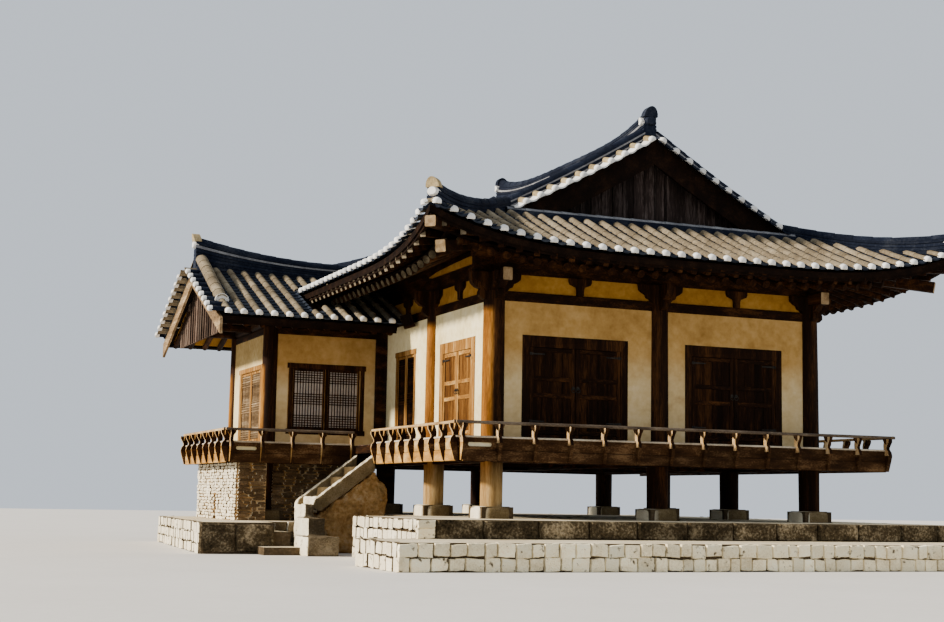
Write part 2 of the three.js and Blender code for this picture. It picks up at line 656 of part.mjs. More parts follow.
function cornerRise(c) {
  return Math.max(0, 1 - c / LIFT_REACH) ** 3;
}

function roofTop(s, c, y) {
  const slope = SLOPE_AT_EAVE * s + SLOPE_GROWTH * s ** 2;
  const lift = CORNER_LIFT * cornerRise(c) * Math.max(0, 1 - s / (HALF_SPAN + 100));
  const back = Math.min(1, Math.max(0, (y - REAR_RAISE_FROM) / (ROOF_BACK - REAR_RAISE_FROM)));
  return EAVE_Z + slope + lift + REAR_RAISE * back ** 2 * (3 - 2 * back) * Math.max(0, 1 - s / HIP_DEPTH);
}

// The same surface by plan position, for the slopes that run up to the ridge
function slopeTop(x, y) {
  const s = Math.min(x - ROOF_LEFT, ROOF_RIGHT - x);
  const c = Math.min(y - ROOF_FRONT, ROOF_BACK - y);
  const along = (y - MIDDLE_Y) / ((VERGE_BACK - VERGE_FRONT) / 2);
  const up = Math.max(0, (s - HIP_DEPTH) / (HALF_SPAN - HIP_DEPTH));
  const sag = RIDGE_SAG * Math.max(0, 1 - along ** 2) * up ** 2;
  return roofTop(s, c, y) - sag;
}

// Where the eave bows in between the corners
function eaveEdge(c) {
  return EAVE_INSET * (1 - cornerRise(c));
}

const EAVE_STEPS = [0, 0.05, 0.12, 0.21, 0.33, 0.5, 0.67, 0.79, 0.88, 0.95];

// The ring of four slopes below the gables
function roofRing() {
  const rows = [0, 0.3, 0.65, 1].map(() => []);
  const sides = [
    { start: [ROOF_LEFT, ROOF_FRONT], along: [1, 0], inward: [0, 1], length: ROOF_RIGHT - ROOF_LEFT },
    { start: [ROOF_RIGHT, ROOF_FRONT], along: [0, 1], inward: [-1, 0], length: ROOF_BACK - ROOF_FRONT },
    { start: [ROOF_RIGHT, ROOF_BACK], along: [-1, 0], inward: [0, -1], length: ROOF_RIGHT - ROOF_LEFT },
    { start: [ROOF_LEFT, ROOF_BACK], along: [0, -1], inward: [1, 0], length: ROOF_BACK - ROOF_FRONT },
  ];
  for (const side of sides) {
    for (const u of EAVE_STEPS) {
      [0, 0.3, 0.65, 1].forEach((v, i) => {
        const edge = eaveEdge(Math.min(u, 1 - u) * side.length);
        const s = edge + v * (HIP_DEPTH - edge);
        const t = s + u * (side.length - 2 * s);
        const c = Math.min(t, side.length - t);
        const x = side.start[0] + side.along[0] * t + side.inward[0] * s;
        const y = side.start[1] + side.along[1] * t + side.inward[1] * s;
        rows[i].push([x, y, roofTop(s, c, y)]);
      });
    }
  }
  return sheet(rows, ROOF_THICK, true);
}

// The two slopes that meet at the ridge, from verge to verge
function roofUpper() {
  const foot = ROOF_LEFT + HIP_DEPTH;
  const left = [foot - 200, foot, ...[0.35, 0.7].map((u) => foot + u * (WIDTH / 2 - foot))];
  const across = [...left, WIDTH / 2, ...left.slice().reverse().map((x) => WIDTH - x)];
  const rows = [];
  const steps = 6;
  for (let k = 0; k <= steps; k += 1) {
    const y = VERGE_FRONT + ((VERGE_BACK - VERGE_FRONT) * k) / steps;
    rows.push(across.map((x) => {
      const dip = x < foot || x > WIDTH - foot ? 120 : 0;
      return [x, y, slopeTop(x, y) - dip];
    }));
  }
  return sheet(rows, ROOF_THICK);
}

// The strip that seats the roof on the purlins, where the rafters cross them
function roofSeat() {
  const low = PURLIN_TOP + GAP;
  const outer = box(-100, WIDTH + 100, -100, DEPTH + 100, low, 5040);
  const inner = box(100, WIDTH - 100, 100, DEPTH - 100, low - 50, 5100);
  return cut(outer, [inner, roofRing().translate([0, 0, ROOF_THICK - 10])]);
}

const RIDGE_SINK = 60;

// A ridge: a wall of stacked tiles along a path of [x, y, base z, height] points
function ridgeWall(path, width) {
  return sheet(path.map(([x, y, z, height], k) => {
    const [x0, y0] = path[Math.max(0, k - 1)];
    const [x1, y1] = path[Math.min(path.length - 1, k + 1)];
    const scale = width / 2 / Math.hypot(x1 - x0, y1 - y0);
    const [sx, sy] = [-(y1 - y0) * scale, (x1 - x0) * scale];
    return [[x + sx, y + sy, z + height, height], [x - sx, y - sy, z + height, height]];
  }), 0);
}

// The low ridge at the foot of each gable
function gableFoot(flipY) {
  const y = flipY ? ROOF_FRONT + ROOF_BACK - 330 : 330;
  const base = roofTop(330 - ROOF_FRONT, LIFT_REACH, 0) - RIDGE_SINK;
  return ridgeWall([[380, y, base, 150], [WIDTH - 380, y, base, 150]], 120);
}

const mainRoof = join([roofRing(), roofUpper(), roofSeat(), gableFoot(false), gableFoot(true)]);
add('main_roof', mainRoof, 'tiles');

// A roof moved a little up and down, to cut what lies on or under it with a small gap
function seatCutters(roof) {
  return [-1.5 * GAP, 1.5 * GAP].map((dz) => roof.translate([0, 0, dz]));
}

// The same for what also meets its edges
function edgeCutters(roof) {
  const moves = [[0, 0], [-GAP, -GAP], [-GAP, GAP], [GAP, -GAP], [GAP, GAP]];
  return [...seatCutters(roof), ...moves.map(([dx, dy]) => roof.translate([dx, dy, 0]))];
}
const CLEAR_OF_MAIN_ROOF = seatCutters(mainRoof);

// The purlins on the plaster band, with a square timber below each
function mainPurlins() {
  const pieces = [];
  for (const y of [0, DEPTH]) {
    const past = y === 0 ? PURLIN_END : REAR_PURLIN_END;
    const ends = [[-past, y, PURLIN_MIDDLE], [WIDTH + past, y, PURLIN_MIDDLE]];
    pieces.push(log(...ends, PURLIN_RADIUS, 12));
    pieces.push(box(-past, WIDTH + past, y - 45, y + 45, BAND_TOP, PURLIN_MIDDLE));
  }
  for (const x of [0, WIDTH]) {
    const ends = [[x, -PURLIN_END, PURLIN_MIDDLE], [x, DEPTH + REAR_PURLIN_END, PURLIN_MIDDLE]];
    pieces.push(log(...ends, PURLIN_RADIUS, 12));
    pieces.push(box(x - 45, x + 45, -PURLIN_END, DEPTH + REAR_PURLIN_END, BAND_TOP, PURLIN_MIDDLE));
  }
  return join(pieces);
}
add('main_purlins', cut(mainPurlins(), CLEAR_OF_MAIN_ROOF), 'timber');

const RIDGE_TOP = 6840;
const RIDGE_RISE = 360;
const MAIN_RIDGE_FRONT = 250;
const MAIN_RIDGE_BACK = 6290;

function mainRidgePath() {
  const steps = 6;
  return Array.from({ length: steps + 1 }, (_, k) => {
    const u = k / steps;
    const y = MAIN_RIDGE_FRONT + (MAIN_RIDGE_BACK - MAIN_RIDGE_FRONT) * u;
    const base = slopeTop(WIDTH / 2, y) - RIDGE_SINK;
    return [WIDTH / 2, y, base, RIDGE_TOP + RIDGE_RISE * (2 * u - 1) ** 4 - base];
  });
}

// Down the slope beside the verge, then along the hip to the corner
const DESCENT_X = 300;
const HIP_END = -1620;
const DESCENT_Y = 320;

function cornerRidgePaths(flipX, flipY) {
  const place = (x, y) => [flipX ? WIDTH - x : x, flipY ? ROOF_FRONT + ROOF_BACK - y : y];
  const descent = [];
  for (let k = 0; k <= 3; k += 1) {
    const x = WIDTH / 2 + (DESCENT_X - WIDTH / 2) * (k / 3);
    const [px, py] = place(x, DESCENT_Y);
    descent.push([px, py, slopeTop(px, py) - RIDGE_SINK, (k === 0 ? 380 : 280 - 20 * k) + RIDGE_SINK]);
  }
  const hip = [];
  for (let k = 0; k <= 4; k += 1) {
    const d = 330 + (HIP_END - 330) * (k / 4);
    const s = d - ROOF_LEFT;
    const [px, py] = place(d, d);
    hip.push([px, py, roofTop(s, s, py) - RIDGE_SINK, 215 + 135 * (k / 4) + RIDGE_SINK]);
  }
  return [descent, hip];
}

function mainRidges() {
  const pieces = [ridgeWall(mainRidgePath(), 240)];
  for (const flipX of [false, true]) {
    for (const flipY of [false, true]) {
      const [descent, hip] = cornerRidgePaths(flipX, flipY);
      pieces.push(ridgeWall(descent, 200), ridgeWall(hip, 200));
    }
  }
  return cut(join(pieces), CLEAR_OF_MAIN_ROOF);
}
const ridges = mainRidges();
add('main_ridges', ridges, 'tiles');

// The gables: upright boards set back under the verge, and a pair of bargeboards in front of them
const GABLE_BACK_OFF = 310;
const GABLE_THICK = 50;

function gableOutline(y, drop, from) {
  const xs = [0, 0.2, 0.4, 0.6, 0.8, 1].map((u) => from + u * (WIDTH / 2 - from));
  const left = xs.map((x) => [x, slopeTop(x, y) - drop]);
  const right = xs.slice(0, -1).reverse().map((x) => [WIDTH - x, slopeTop(x, y) - drop]);
  return [...left, ...right];
}

function gableWall(y) {
  const low = roofTop(y < MIDDLE_Y ? y - ROOF_FRONT : ROOF_BACK - y, LIFT_REACH, y) - 60;
  const top = gableOutline(y, 100, 700);
  const line = [[700, low], ...top, [WIDTH - 700, low]];
  const shape = prismXZ(line, y - GABLE_THICK / 2, y + GABLE_THICK / 2);
  return cut(shape, [...CLEAR_OF_MAIN_ROOF, ridges.translate([0, GAP, 0]), ridges.translate([0, -GAP, 0])]);
}
const GABLE_FRONT_Y = VERGE_FRONT + GABLE_BACK_OFF;
add('front_gable', gableWall(GABLE_FRONT_Y), 'boards');
add('back_gable', gableWall(ROOF_FRONT + ROOF_BACK - GABLE_FRONT_Y), 'boards');

const BARGE_THICK = 44;
const BARGE_TOP = 40;
const BARGE_DEPTH = 460;

function bargeboards(y0) {
  const y = y0 + BARGE_THICK / 2;
  const top = gableOutline(y, BARGE_TOP, 330);
  const under = gableOutline(y, BARGE_DEPTH, 330);
  const shape = prismXZ([...under, ...top.slice().reverse()], y0, y0 + BARGE_THICK);
  const floor = roofTop(Math.min(y - ROOF_FRONT, ROOF_BACK - y), LIFT_REACH, y) + 1;
  return cut(shape, [...CLEAR_OF_MAIN_ROOF, box(-500, WIDTH + 500, y - 100, y + 100, 3000, floor)]);
}
add('front_bargeboards', bargeboards(VERGE_FRONT - BARGE_THICK - GAP), 'boards');
add('back_bargeboards', bargeboards(VERGE_BACK + GAP), 'boards');

// The wing's roof. s is the level distance in from its eave.
const WING_EAVE_Z = 3830;
const WING_ROOF_FRONT = 3600;
const WING_ROOF_BACK = 8400;
const WING_RIDGE_Y = (WING_ROOF_FRONT + WING_ROOF_BACK) / 2;
const WING_HALF = (WING_ROOF_BACK - WING_ROOF_FRONT) / 2;
const WING_VERGE = -3300;
const WING_ROOF_RIGHT = -260;
const WING_LIFT_REACH = 2200;
const WING_SLOPE = 0.42;

function wingTop(x, y) {
  const s = Math.min(y - WING_ROOF_FRONT, WING_ROOF_BACK - y);
  const near = Math.max(0, 1 - (x - WING_VERGE) / WING_LIFT_REACH) ** 2;
  return WING_EAVE_Z + WING_SLOPE * s + near * 70 * (s / WING_HALF);
}

function wingShell() {
  const across = [0, 0.3, 0.6, 0.85, 1, 1.15, 1.4, 1.7, 2].map((u) => WING_ROOF_FRONT + u * WING_HALF);
  const along = [0, 0.12, 0.27, 0.45, 0.7, 1].map((u) => WING_VERGE + u * (WING_ROOF_RIGHT - WING_VERGE));
  const shell = sheet(across.map((y) => along.map((x) => [x, y, wingTop(x, y)])), ROOF_THICK);
  const seats = [WING_FRONT, DEPTH].map((y) => (
    box(-WING_BAY - 900, WING_ROOF_RIGHT, y - 60, y + 60, WING_PURLIN_TOP + GAP, 4180)
  ));
  return join([shell, ...seats]);
}
const wingRoof = cut(wingShell(), edgeCutters(mainRoof));
add('wing_roof', wingRoof, 'tiles');
const CLEAR_OF_WING_ROOF = edgeCutters(wingRoof);

const WING_GABLE_X = -3130;

function wingPurlins() {
  const radius = 100;
  const middle = WING_PURLIN_TOP - radius;
  const left = WING_GABLE_X + 20 + GAP;
  const right = -240;
  const logs = [WING_FRONT, DEPTH].map((y) => log([left, y, middle], [right, y, middle], radius, 12));
  const tie = log([-WING_BAY, WING_FRONT, middle], [-WING_BAY, DEPTH, middle], radius, 12);
  const stub = log([left, WING_RIDGE_Y, middle], [-WING_BAY, WING_RIDGE_Y, middle], radius, 12);
  return join([...logs, tie, stub]).translate([0, 0, GAP]);
}
add('wing_purlins', cut(wingPurlins(), CLEAR_OF_WING_ROOF), 'timber');

// The plaster triangle over the wing's end wall, and the boards and bargeboards out at the verge
function wingOutline(x, drop, from) {
  const ys = [0, 0.25, 0.5, 0.75, 1].map((u) => from + u * (WING_RIDGE_Y - from));
  const near = ys.map((y) => [y, wingTop(x, y) - drop]);
  const far = ys.slice(0, -1).reverse().map((y) => [2 * WING_RIDGE_Y - y, wingTop(x, y) - drop]);
  return [...near, ...far];
}

function wingTriangle(x, thick, from, low) {
  const top = wingOutline(x, 100, from);
  const far = 2 * WING_RIDGE_Y - from;
  const shape = prismYZ([[from, low], [far, low], ...top.slice().reverse()], x - thick / 2, x + thick / 2);
  return cut(shape, CLEAR_OF_WING_ROOF);
}
const PURLIN_SEAT = WING_PURLIN_TOP + 2 * GAP;
add('wing_upper_wall', wingTriangle(-WING_BAY, 100, WING_FRONT + 60 + GAP, PURLIN_SEAT), 'plaster');
add('wing_gable', wingTriangle(WING_GABLE_X, 40, WING_FRONT - 500, 3620), 'boards');

function wingBargeboards() {
  const x0 = WING_VERGE - BARGE_THICK - GAP;
  const top = wingOutline(WING_VERGE, BARGE_TOP, WING_ROOF_FRONT - 60);
  const under = wingOutline(WING_VERGE, 300, WING_ROOF_FRONT - 60);
  return prismYZ([...under, ...top.slice().reverse()], x0, x0 + BARGE_THICK);
}
add('wing_bargeboards', wingBargeboards(), 'boards');

const WING_RIDGE_END = 150;
const WING_RIDGE_TOP = 5200;
const WING_RIDGE_RISE = 310;
const UNDER_MAIN_ROOF = [-150, -300, -450].map((dz) => mainRoof.translate([0, 0, dz]));

function wingRidges() {
  const path = [0, 0.1, 0.22, 0.4, 0.6, 1].map((u) => {
    const x = WING_VERGE + u * (WING_RIDGE_END - WING_VERGE);
    const rise = WING_RIDGE_RISE * Math.max(0, 1 - (x - WING_VERGE) / 2600) ** 2;
    const base = wingTop(x, WING_RIDGE_Y) - RIDGE_SINK;
    return [x, WING_RIDGE_Y, base, WING_RIDGE_TOP + rise - base];
  });
  const pieces = [ridgeWall(path, 210)];
  for (const side of [-1, 1]) {
    const x = WING_VERGE + 100;
    const down = [0, 0.3, 0.55, 0.78].map((u) => {
      const y = WING_RIDGE_Y + side * u * WING_HALF;
      return [x, y, wingTop(x, y) - RIDGE_SINK, 330 - 190 * u + RIDGE_SINK];
    });
    pieces.push(ridgeWall(down, 190));
  }
  return cut(join(pieces), [...CLEAR_OF_WING_ROOF, ...edgeCutters(mainRoof), ...UNDER_MAIN_ROOF]);
}
add('wing_ridges', wingRidges(), 'tiles');

export default house;
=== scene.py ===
# %% [markdown]
# # A tiled timber house
#
# The house stands on a stone platform. Its posts carry a hip-and-gable roof of clay tiles, and a
# lower gabled wing stands out to the left. The construction comes packed, with every post, wall,
# door leaf and roof slope in its place. This lesson dresses it: tiles, rafters, boards, stones,
# lattices and their finishes. Everything is in metres, with +Z up and the front facing -Y.

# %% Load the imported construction
import math

import bmesh
import bpy
import numpy as np
from mathutils import Matrix, Vector


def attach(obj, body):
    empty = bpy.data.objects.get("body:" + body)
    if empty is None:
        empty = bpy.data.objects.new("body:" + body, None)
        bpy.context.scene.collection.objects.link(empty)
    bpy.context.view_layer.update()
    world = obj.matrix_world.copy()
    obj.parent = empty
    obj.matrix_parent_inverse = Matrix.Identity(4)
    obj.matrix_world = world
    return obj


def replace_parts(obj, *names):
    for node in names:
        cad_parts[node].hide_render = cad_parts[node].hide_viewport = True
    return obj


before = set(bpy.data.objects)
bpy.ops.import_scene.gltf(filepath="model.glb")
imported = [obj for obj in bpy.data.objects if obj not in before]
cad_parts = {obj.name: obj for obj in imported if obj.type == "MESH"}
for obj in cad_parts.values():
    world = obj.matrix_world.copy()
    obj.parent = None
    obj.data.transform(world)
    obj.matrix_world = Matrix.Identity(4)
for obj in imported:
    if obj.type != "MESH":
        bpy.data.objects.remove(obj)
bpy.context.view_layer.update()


# %% [markdown]
# ## The camera
#
# The photographer stood to the left of the front corner, a little under twice a person's height
# below the eaves, and looked slightly up. The place and the angles were found from the upright
# posts and from the lines of the floor edge and the eaves, which all run to known directions.

# %% The camera
CAMERA_PLACE = Vector((-8.650, -20.419, 0.900))
CAMERA_YAW = math.radians(22.107)
CAMERA_PITCH = math.radians(7.161)
CAMERA_ROLL = math.radians(1.016)
CAMERA_LENS = 57.03


def add_object(name, data):
    """Puts a mesh, a camera or a light into the scene."""
    made = bpy.data.objects.new(name, data)
    bpy.context.scene.collection.objects.link(made)
    return made


def aim_camera():
    level_right = Vector((math.cos(CAMERA_YAW), -math.sin(CAMERA_YAW), 0))
    level_ahead = Vector((math.sin(CAMERA_YAW), math.cos(CAMERA_YAW), 0))
    ahead = level_ahead * math.cos(CAMERA_PITCH) + Vector((0, 0, math.sin(CAMERA_PITCH)))
    up = Vector((0, 0, math.cos(CAMERA_PITCH))) - level_ahead * math.sin(CAMERA_PITCH)
    right = level_right * math.cos(CAMERA_ROLL) + up * math.sin(CAMERA_ROLL)
    up = up * math.cos(CAMERA_ROLL) - level_right * math.sin(CAMERA_ROLL)
    turn = Matrix((right, up, -ahead)).transposed().to_4x4()
    camera = add_object("camera", bpy.data.cameras.new("camera"))
    camera.data.lens = CAMERA_LENS
    camera.data.sensor_width = 36
    camera.data.clip_end = 200
    camera.matrix_world = Matrix.Translation(CAMERA_PLACE) @ turn
    bpy.context.scene.camera = camera


aim_camera()
print("camera at", [round(value, 2) for value in CAMERA_PLACE], "lens", CAMERA_LENS)

# %% [markdown]
# ## Piles and lofts
#
# Nearly every piece here is many like things: tiles, rafters, stones, bars. Each of them is a loft,
# which is a closed outline carried through two or more places. A pile gathers such lofts as plain
# arrays and turns them into one mesh, which is far quicker than joining objects.

# %% Gather shapes into one mesh
SHARP_EDGE = math.radians(40)


def face_outward(mesh):
    """Turns the faces of every closed shape outward."""
    shapes = bmesh.new()
    shapes.from_mesh(mesh)
    bmesh.ops.recalc_face_normals(shapes, faces=shapes.faces)
    shapes.to_mesh(mesh)
    shapes.free()


class Pile:
    """Points and faces of many like things, kept until they become one piece."""

    def __init__(self):
        self.points = []
        self.faces = []
        self.finishes = []
        self.count = 0

    def add(self, points, faces, finish=0):
        points = np.asarray(points, float).reshape(-1, 3)
        self.points.append(points)
        self.faces.extend([tuple(i + self.count for i in face) for face in faces])
        self.finishes.extend(finish if isinstance(finish, list) else [finish] * len(faces))
        self.count += len(points)

    def sheet(self, rows, finish):
        """An open skin over rows of points that follow one another."""
        count = len(rows[0])
        starts = [row * count + j for row in range(len(rows) - 1) for j in range(count - 1)]
        self.add(rows, [(a, a + 1, a + count + 1, a + count) for a in starts], finish)

    def loft(self, rings, finish=0, caps=(True, True), cap=None):
        """Skins closed outlines that follow one another. finish may be a list, one for each side."""
        rings = np.asarray(rings, float)
        many, around = rings.shape[:2]
        faces = []
        sides = list(finish) if isinstance(finish, (list, tuple)) else [finish] * around
        finishes = sides * (many - 1)
        for i in range(many - 1):
            for j in range(around):
                k = (j + 1) % around
                faces.append((i * around + j, i * around + k, (i + 1) * around + k, (i + 1) * around + j))
        if caps[0]:
            faces.append(tuple(reversed(range(around))))
        if caps[1]:
            faces.append(tuple(range((many - 1) * around, many * around)))
        finishes += [sides[0] if cap is None else cap] * (len(faces) - len(finishes))
        self.add(rings, faces, finishes)

    def box(self, low, high):
        (x0, y0, z0), (x1, y1, z1) = low, high
        ring = [(x0, y0), (x1, y0), (x1, y1), (x0, y1)]
        self.loft([[(x, y, z) for x, y in ring] for z in (z0, z1)])

    def piece(self, name, materials, slot, body="house", smooth=False):
        """Makes the mesh, and says which body it rides on. Its slot is not used."""
        mesh = bpy.data.meshes.new(name)
        mesh.from_pydata(np.concatenate(self.points).tolist(), [], self.faces)
        for material in materials:
            mesh.materials.append(material)
        mesh.polygons.foreach_set("material_index", np.array(self.finishes, dtype=np.int32))
        face_outward(mesh)
        if smooth:
            mesh.shade_smooth()
            mesh.set_sharp_from_angle(angle=SHARP_EDGE)
        mesh.validate()
        made = add_object(name, mesh)
        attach(made, body)
        print(f"{name}: {sum(len(face) - 2 for face in self.faces)} triangles")
        return made


# %% Outlines and timbers
def circle(count, start=0.0):
    """Points on a unit circle, without the last one, which closes on the first."""
    return [(math.cos(start + 2 * math.pi * k / count), math.sin(start + 2 * math.pi * k / count))
            for k in range(count)]


def arch(count):
    """Points on the upper half of a unit circle."""
    return [(math.cos(math.pi * k / count), math.sin(math.pi * k / count)) for k in range(count + 1)]


def chamfered(x0, x1, y0, y1, c):
    """The section of a squared bar with its arrises taken off."""
    return [(x0 + c, y0), (x1 - c, y0), (x1, y0 + c), (x1, y1 - c),
            (x1 - c, y1), (x0 + c, y1), (x0, y1 - c), (x0, y0 + c)]


def log_between(pile, start, end, radius, sides, finish=0, rings=2, wobble=0.0, seed=0, cap=None):
    """A round timber, which may swell and bend a little as hewn wood does."""
    start, end = Vector(start), Vector(end)
    along = (end - start).normalized()
    side = along.orthogonal().normalized()
    up = along.cross(side)
    chance = np.random.default_rng(seed)
    path = []
    for k in range(rings):
        u = k / (rings - 1)
        grow = 1 + wobble * (chance.random() - 0.5)
        shift = radius * wobble * (chance.random(2) - 0.5)
        if k in (0, rings - 1):
            shift = shift * 0
        centre = start.lerp(end, u) + side * shift[0] + up * shift[1]
        path.append([centre + (side * a + up * b) * radius * grow for a, b in circle(sides)])
    pile.loft(path, finish, cap=cap)


def beam_between(pile, start, end, width, height, cap, chamfer=0.012):
    """A squared timber. width is level, height is upward, and cap is the finish of its ends."""
    start, end = Vector(start), Vector(end)
    along = (end - start).normalized()
    side = along.cross(Vector((0, 0, 1))).normalized()
    top = side.cross(along)
    section = chamfered(-width / 2, width / 2, -height / 2, height / 2, chamfer)
    pile.loft([[centre + side * a + top * b for a, b in section] for centre in (start, end)], cap=cap)


# %% [markdown]
# ## Finishes
#
# A finish is a small tree of nodes. Two noises, one broad and one fine, choose a colour from a
# ramp; a random value for each loose island makes one tile or stone differ from the next; and the
# fine noise also raises the surface. Wood uses the same tree with its space squeezed along the
# grain, so one kind is needed for each direction that timbers run. Where a finish asks for them,
# paler layers lie over that: painted sunlight on sides that look to the sunny left, a paler foot
# below a height, painted light on faces that look up, and stains.


# %% Build a finish from noise
EVEN = (1, 1, 1)


def feed(tree, socket, value):
    """Gives a socket a number, a colour, or what another node puts out."""
    if isinstance(value, bpy.types.NodeSocket):
        tree.links.new(value, socket)
    elif isinstance(value, tuple):
        socket.default_value = (*value, 1)[:len(socket.default_value)]
    else:
        socket.default_value = value


def add_node(tree, kind, settings=(), **values):
    """Adds a node, makes its settings, and feeds its sockets by their names."""
    node = tree.nodes.new(kind)
    for name, value in settings:
        setattr(node, name, value)
    for name, value in values.items():
        feed(tree, node.inputs[name.replace("_", " ")], value)
    return node


def squeezed_space(tree, squeeze):
    place = add_node(tree, "ShaderNodeTexCoord").outputs["Object"]
    return add_node(tree, "ShaderNodeMapping", Vector=place, Scale=squeeze).outputs["Vector"]


def parts_of(tree, output):
    """X, Y and Z of a point's place (Object), or of the way its face looks (Normal)."""
    place = add_node(tree, "ShaderNodeTexCoord").outputs[output]
    return add_node(tree, "ShaderNodeSeparateXYZ", Vector=place).outputs


def noise(tree, space, scale, detail=5.0):
    cloud = add_node(tree, "ShaderNodeTexNoise", Vector=space, Scale=scale, Detail=detail, Roughness=0.6)
    return cloud.outputs["Fac"]


def arithmetic(tree, operation, first, second):
    node = add_node(tree, "ShaderNodeMath", [("operation", operation)])
    feed(tree, node.inputs[0], first)
    feed(tree, node.inputs[1], second)
    return node.outputs["Value"]


def product(tree, first, *others):
    for other in others:
        first = arithmetic(tree, "MULTIPLY", first, other)
    return first


def ramp(tree, factor, colours):
    """Runs from the darkest of three colours to the palest."""
    node = add_node(tree, "ShaderNodeValToRGB", Fac=factor)
    band = node.color_ramp.elements
    band.new(0.5)
    for element, place, colour in zip(band, (0.0, 0.5, 1.0), colours):
        element.position = place
        element.color = (*colour, 1)
    return node.outputs["Color"]


def mixed(tree, factor, first, second, mode="MIX"):
    node = add_node(tree, "ShaderNodeMix", [("data_type", "RGBA"), ("blend_type", mode)])
    for socket, value in zip((0, 6, 7), (factor, first, second)):
        feed(tree, node.inputs[socket], value)
    return node.outputs[2]


def grade(tree, value, low, high):
    """Turns a value between low and high into a clean 0 to 1."""
    return add_node(tree, "ShaderNodeMapRange", Value=value, From_Min=low, From_Max=high).outputs["Result"]


# %% Layers of painted light, a paler foot, and the whole finish
def paler_below(tree, colour, pale, height, reach=100.0):
    """Paler below a height, and only to the left of reach. On the left posts' feet the pale is painted
    sunlight.
    """
    at = parts_of(tree, "Object")
    low = grade(tree, at["Z"], height, height - 0.5)
    near = grade(tree, at["X"], reach + 0.1, reach)
    return mixed(tree, product(tree, low, near, 0.8), colour, pale)


def painted_lit_top(tree, colour, pale):
    """Painted light: pale where a face looks up, as if lit from above."""
    return mixed(tree, grade(tree, parts_of(tree, "Normal")["Z"], 0.4, 0.7), colour, pale)


def bleached_side(tree, colour, pale, shelter, reach, turn=0.25):
    """Painted sunlight: pale where a face looks to the sunny left, below the shelter's height, where the
    eaves' shadow begins, and to the left of reach.
    """
    leftward = product(tree, parts_of(tree, "Normal")["X"], -1)
    at = parts_of(tree, "Object")
    sunny = grade(tree, leftward, turn, min(1, turn + 0.5))
    out_of_eave_shadow = grade(tree, at["Z"], shelter + 0.06, shelter - 0.06)
    near = grade(tree, at["X"], reach + 0.1, reach)
    return mixed(tree, product(tree, out_of_eave_shadow, near, sunny), colour, pale)


def finish(name, colours, scale=2.0, squeeze=EVEN, variation=0.25, rough=0.85, relief=0.3,
           relief_size=0.01, fine=12.0, bleached=None, foot=None, top=None, stain=None):
    """A surface of noise, tone and stains, with layers of painted light where asked. The colours of it, and
    of each layer, run from the darkest to the palest.
    """
    material = bpy.data.materials.new(name)
    material.use_nodes = True
    tree = material.node_tree
    space = squeezed_space(tree, squeeze)
    broad, small = noise(tree, space, scale), noise(tree, space, scale * fine, detail=4.0)
    both = arithmetic(tree, "ADD", product(tree, broad, 0.6), product(tree, small, 0.4))
    tone = grade(tree, both, 0.32, 0.68)
    island = add_node(tree, "ShaderNodeNewGeometry").outputs["Random Per Island"]
    shade = arithmetic(tree, "ADD", product(tree, island, 2 * variation), 1 - variation)
    colour = mixed(tree, 1.0, ramp(tree, tone, colours), shade, "MULTIPLY")
    for layer, wish in ((bleached_side, bleached), (paler_below, foot), (painted_lit_top, top)):
        if wish:
            pale, *where = wish
            colour = layer(tree, colour, ramp(tree, tone, pale), *where)
    if stain:
        tint, size, low, high = stain
        patch = grade(tree, noise(tree, squeezed_space(tree, EVEN), size), low, high)
        colour = mixed(tree, patch, colour, tint)
    bump = add_node(tree, "ShaderNodeBump", Strength=relief, Distance=relief_size, Height=small)
    shader = tree.nodes["Principled BSDF"]
    for socket, value in (("Base Color", colour), ("Roughness", rough), ("Specular IOR Level", 0.05),
                          ("Normal", bump.outputs["Normal"])):
        feed(tree, shader.inputs[socket], value)
    print(f"finish: {name}")
    return material


# %% [markdown]
# ## Clay, plaster, wood and stone
#
# The tiles are fired almost black. The tops of the round cover tiles are a pale grey-tan, partly
# lichen and weather and partly painted sunlight, while the pans between them are painted dark and
# bluish as shade. The walls are earth plaster: ochre, with broad stains. The timber is nearly
# black-brown, and painted orange as sunlight on the sides that look left. Each kind has its own
# grain and relief, so a finish says only its colours and what is special about it. A layer of
# painted sunlight also says below which height, where the eaves' shadow begins, and how far to the
# right, the sun reaches; a foot says below which height a finish is paler.

# %% Clays and lime
GRAIN_Y, GRAIN_Z, GRAIN_LEVEL = (1.6, 0.12, 1.6), (1.6, 1.6, 0.12), (0.5, 0.5, 1.6)
EVERYWHERE = 20.0


def plaster(name, colours, scale=1.1, variation=0.02, **layers):
    return finish(name, colours, scale, EVEN, variation, 0.95, 0.25, 0.006, 9.0, **layers)


def wood(name, colours, grain, variation=0.3, rough=0.7, relief=0.5, relief_size=0.008, **layers):
    return finish(name, colours, 5.0, grain, variation, rough, relief, relief_size, **layers)


def stone(name, colours, variation, relief=0.8, relief_size=0.02, fine=20.0, scale=2.2, rough=0.9,
          **layers):
    return finish(name, colours, scale, EVEN, variation, rough, relief, relief_size, fine, **layers)


# Painted shade: the pans are dark and bluish, as in the shadow between the covers. The covers' pale grey-tan
# is partly lichen and partly painted sunlight.
pan_clay = finish("pan clay", ((0.006, 0.008, 0.013), (0.016, 0.021, 0.032), (0.045, 0.05, 0.06)),
                  scale=1.6, rough=0.7)
cover_clay = finish("cover clay", ((0.065, 0.048, 0.030), (0.165, 0.130, 0.082), (0.30, 0.25, 0.17)),
                    scale=1.9, variation=0.12, fine=18.0)
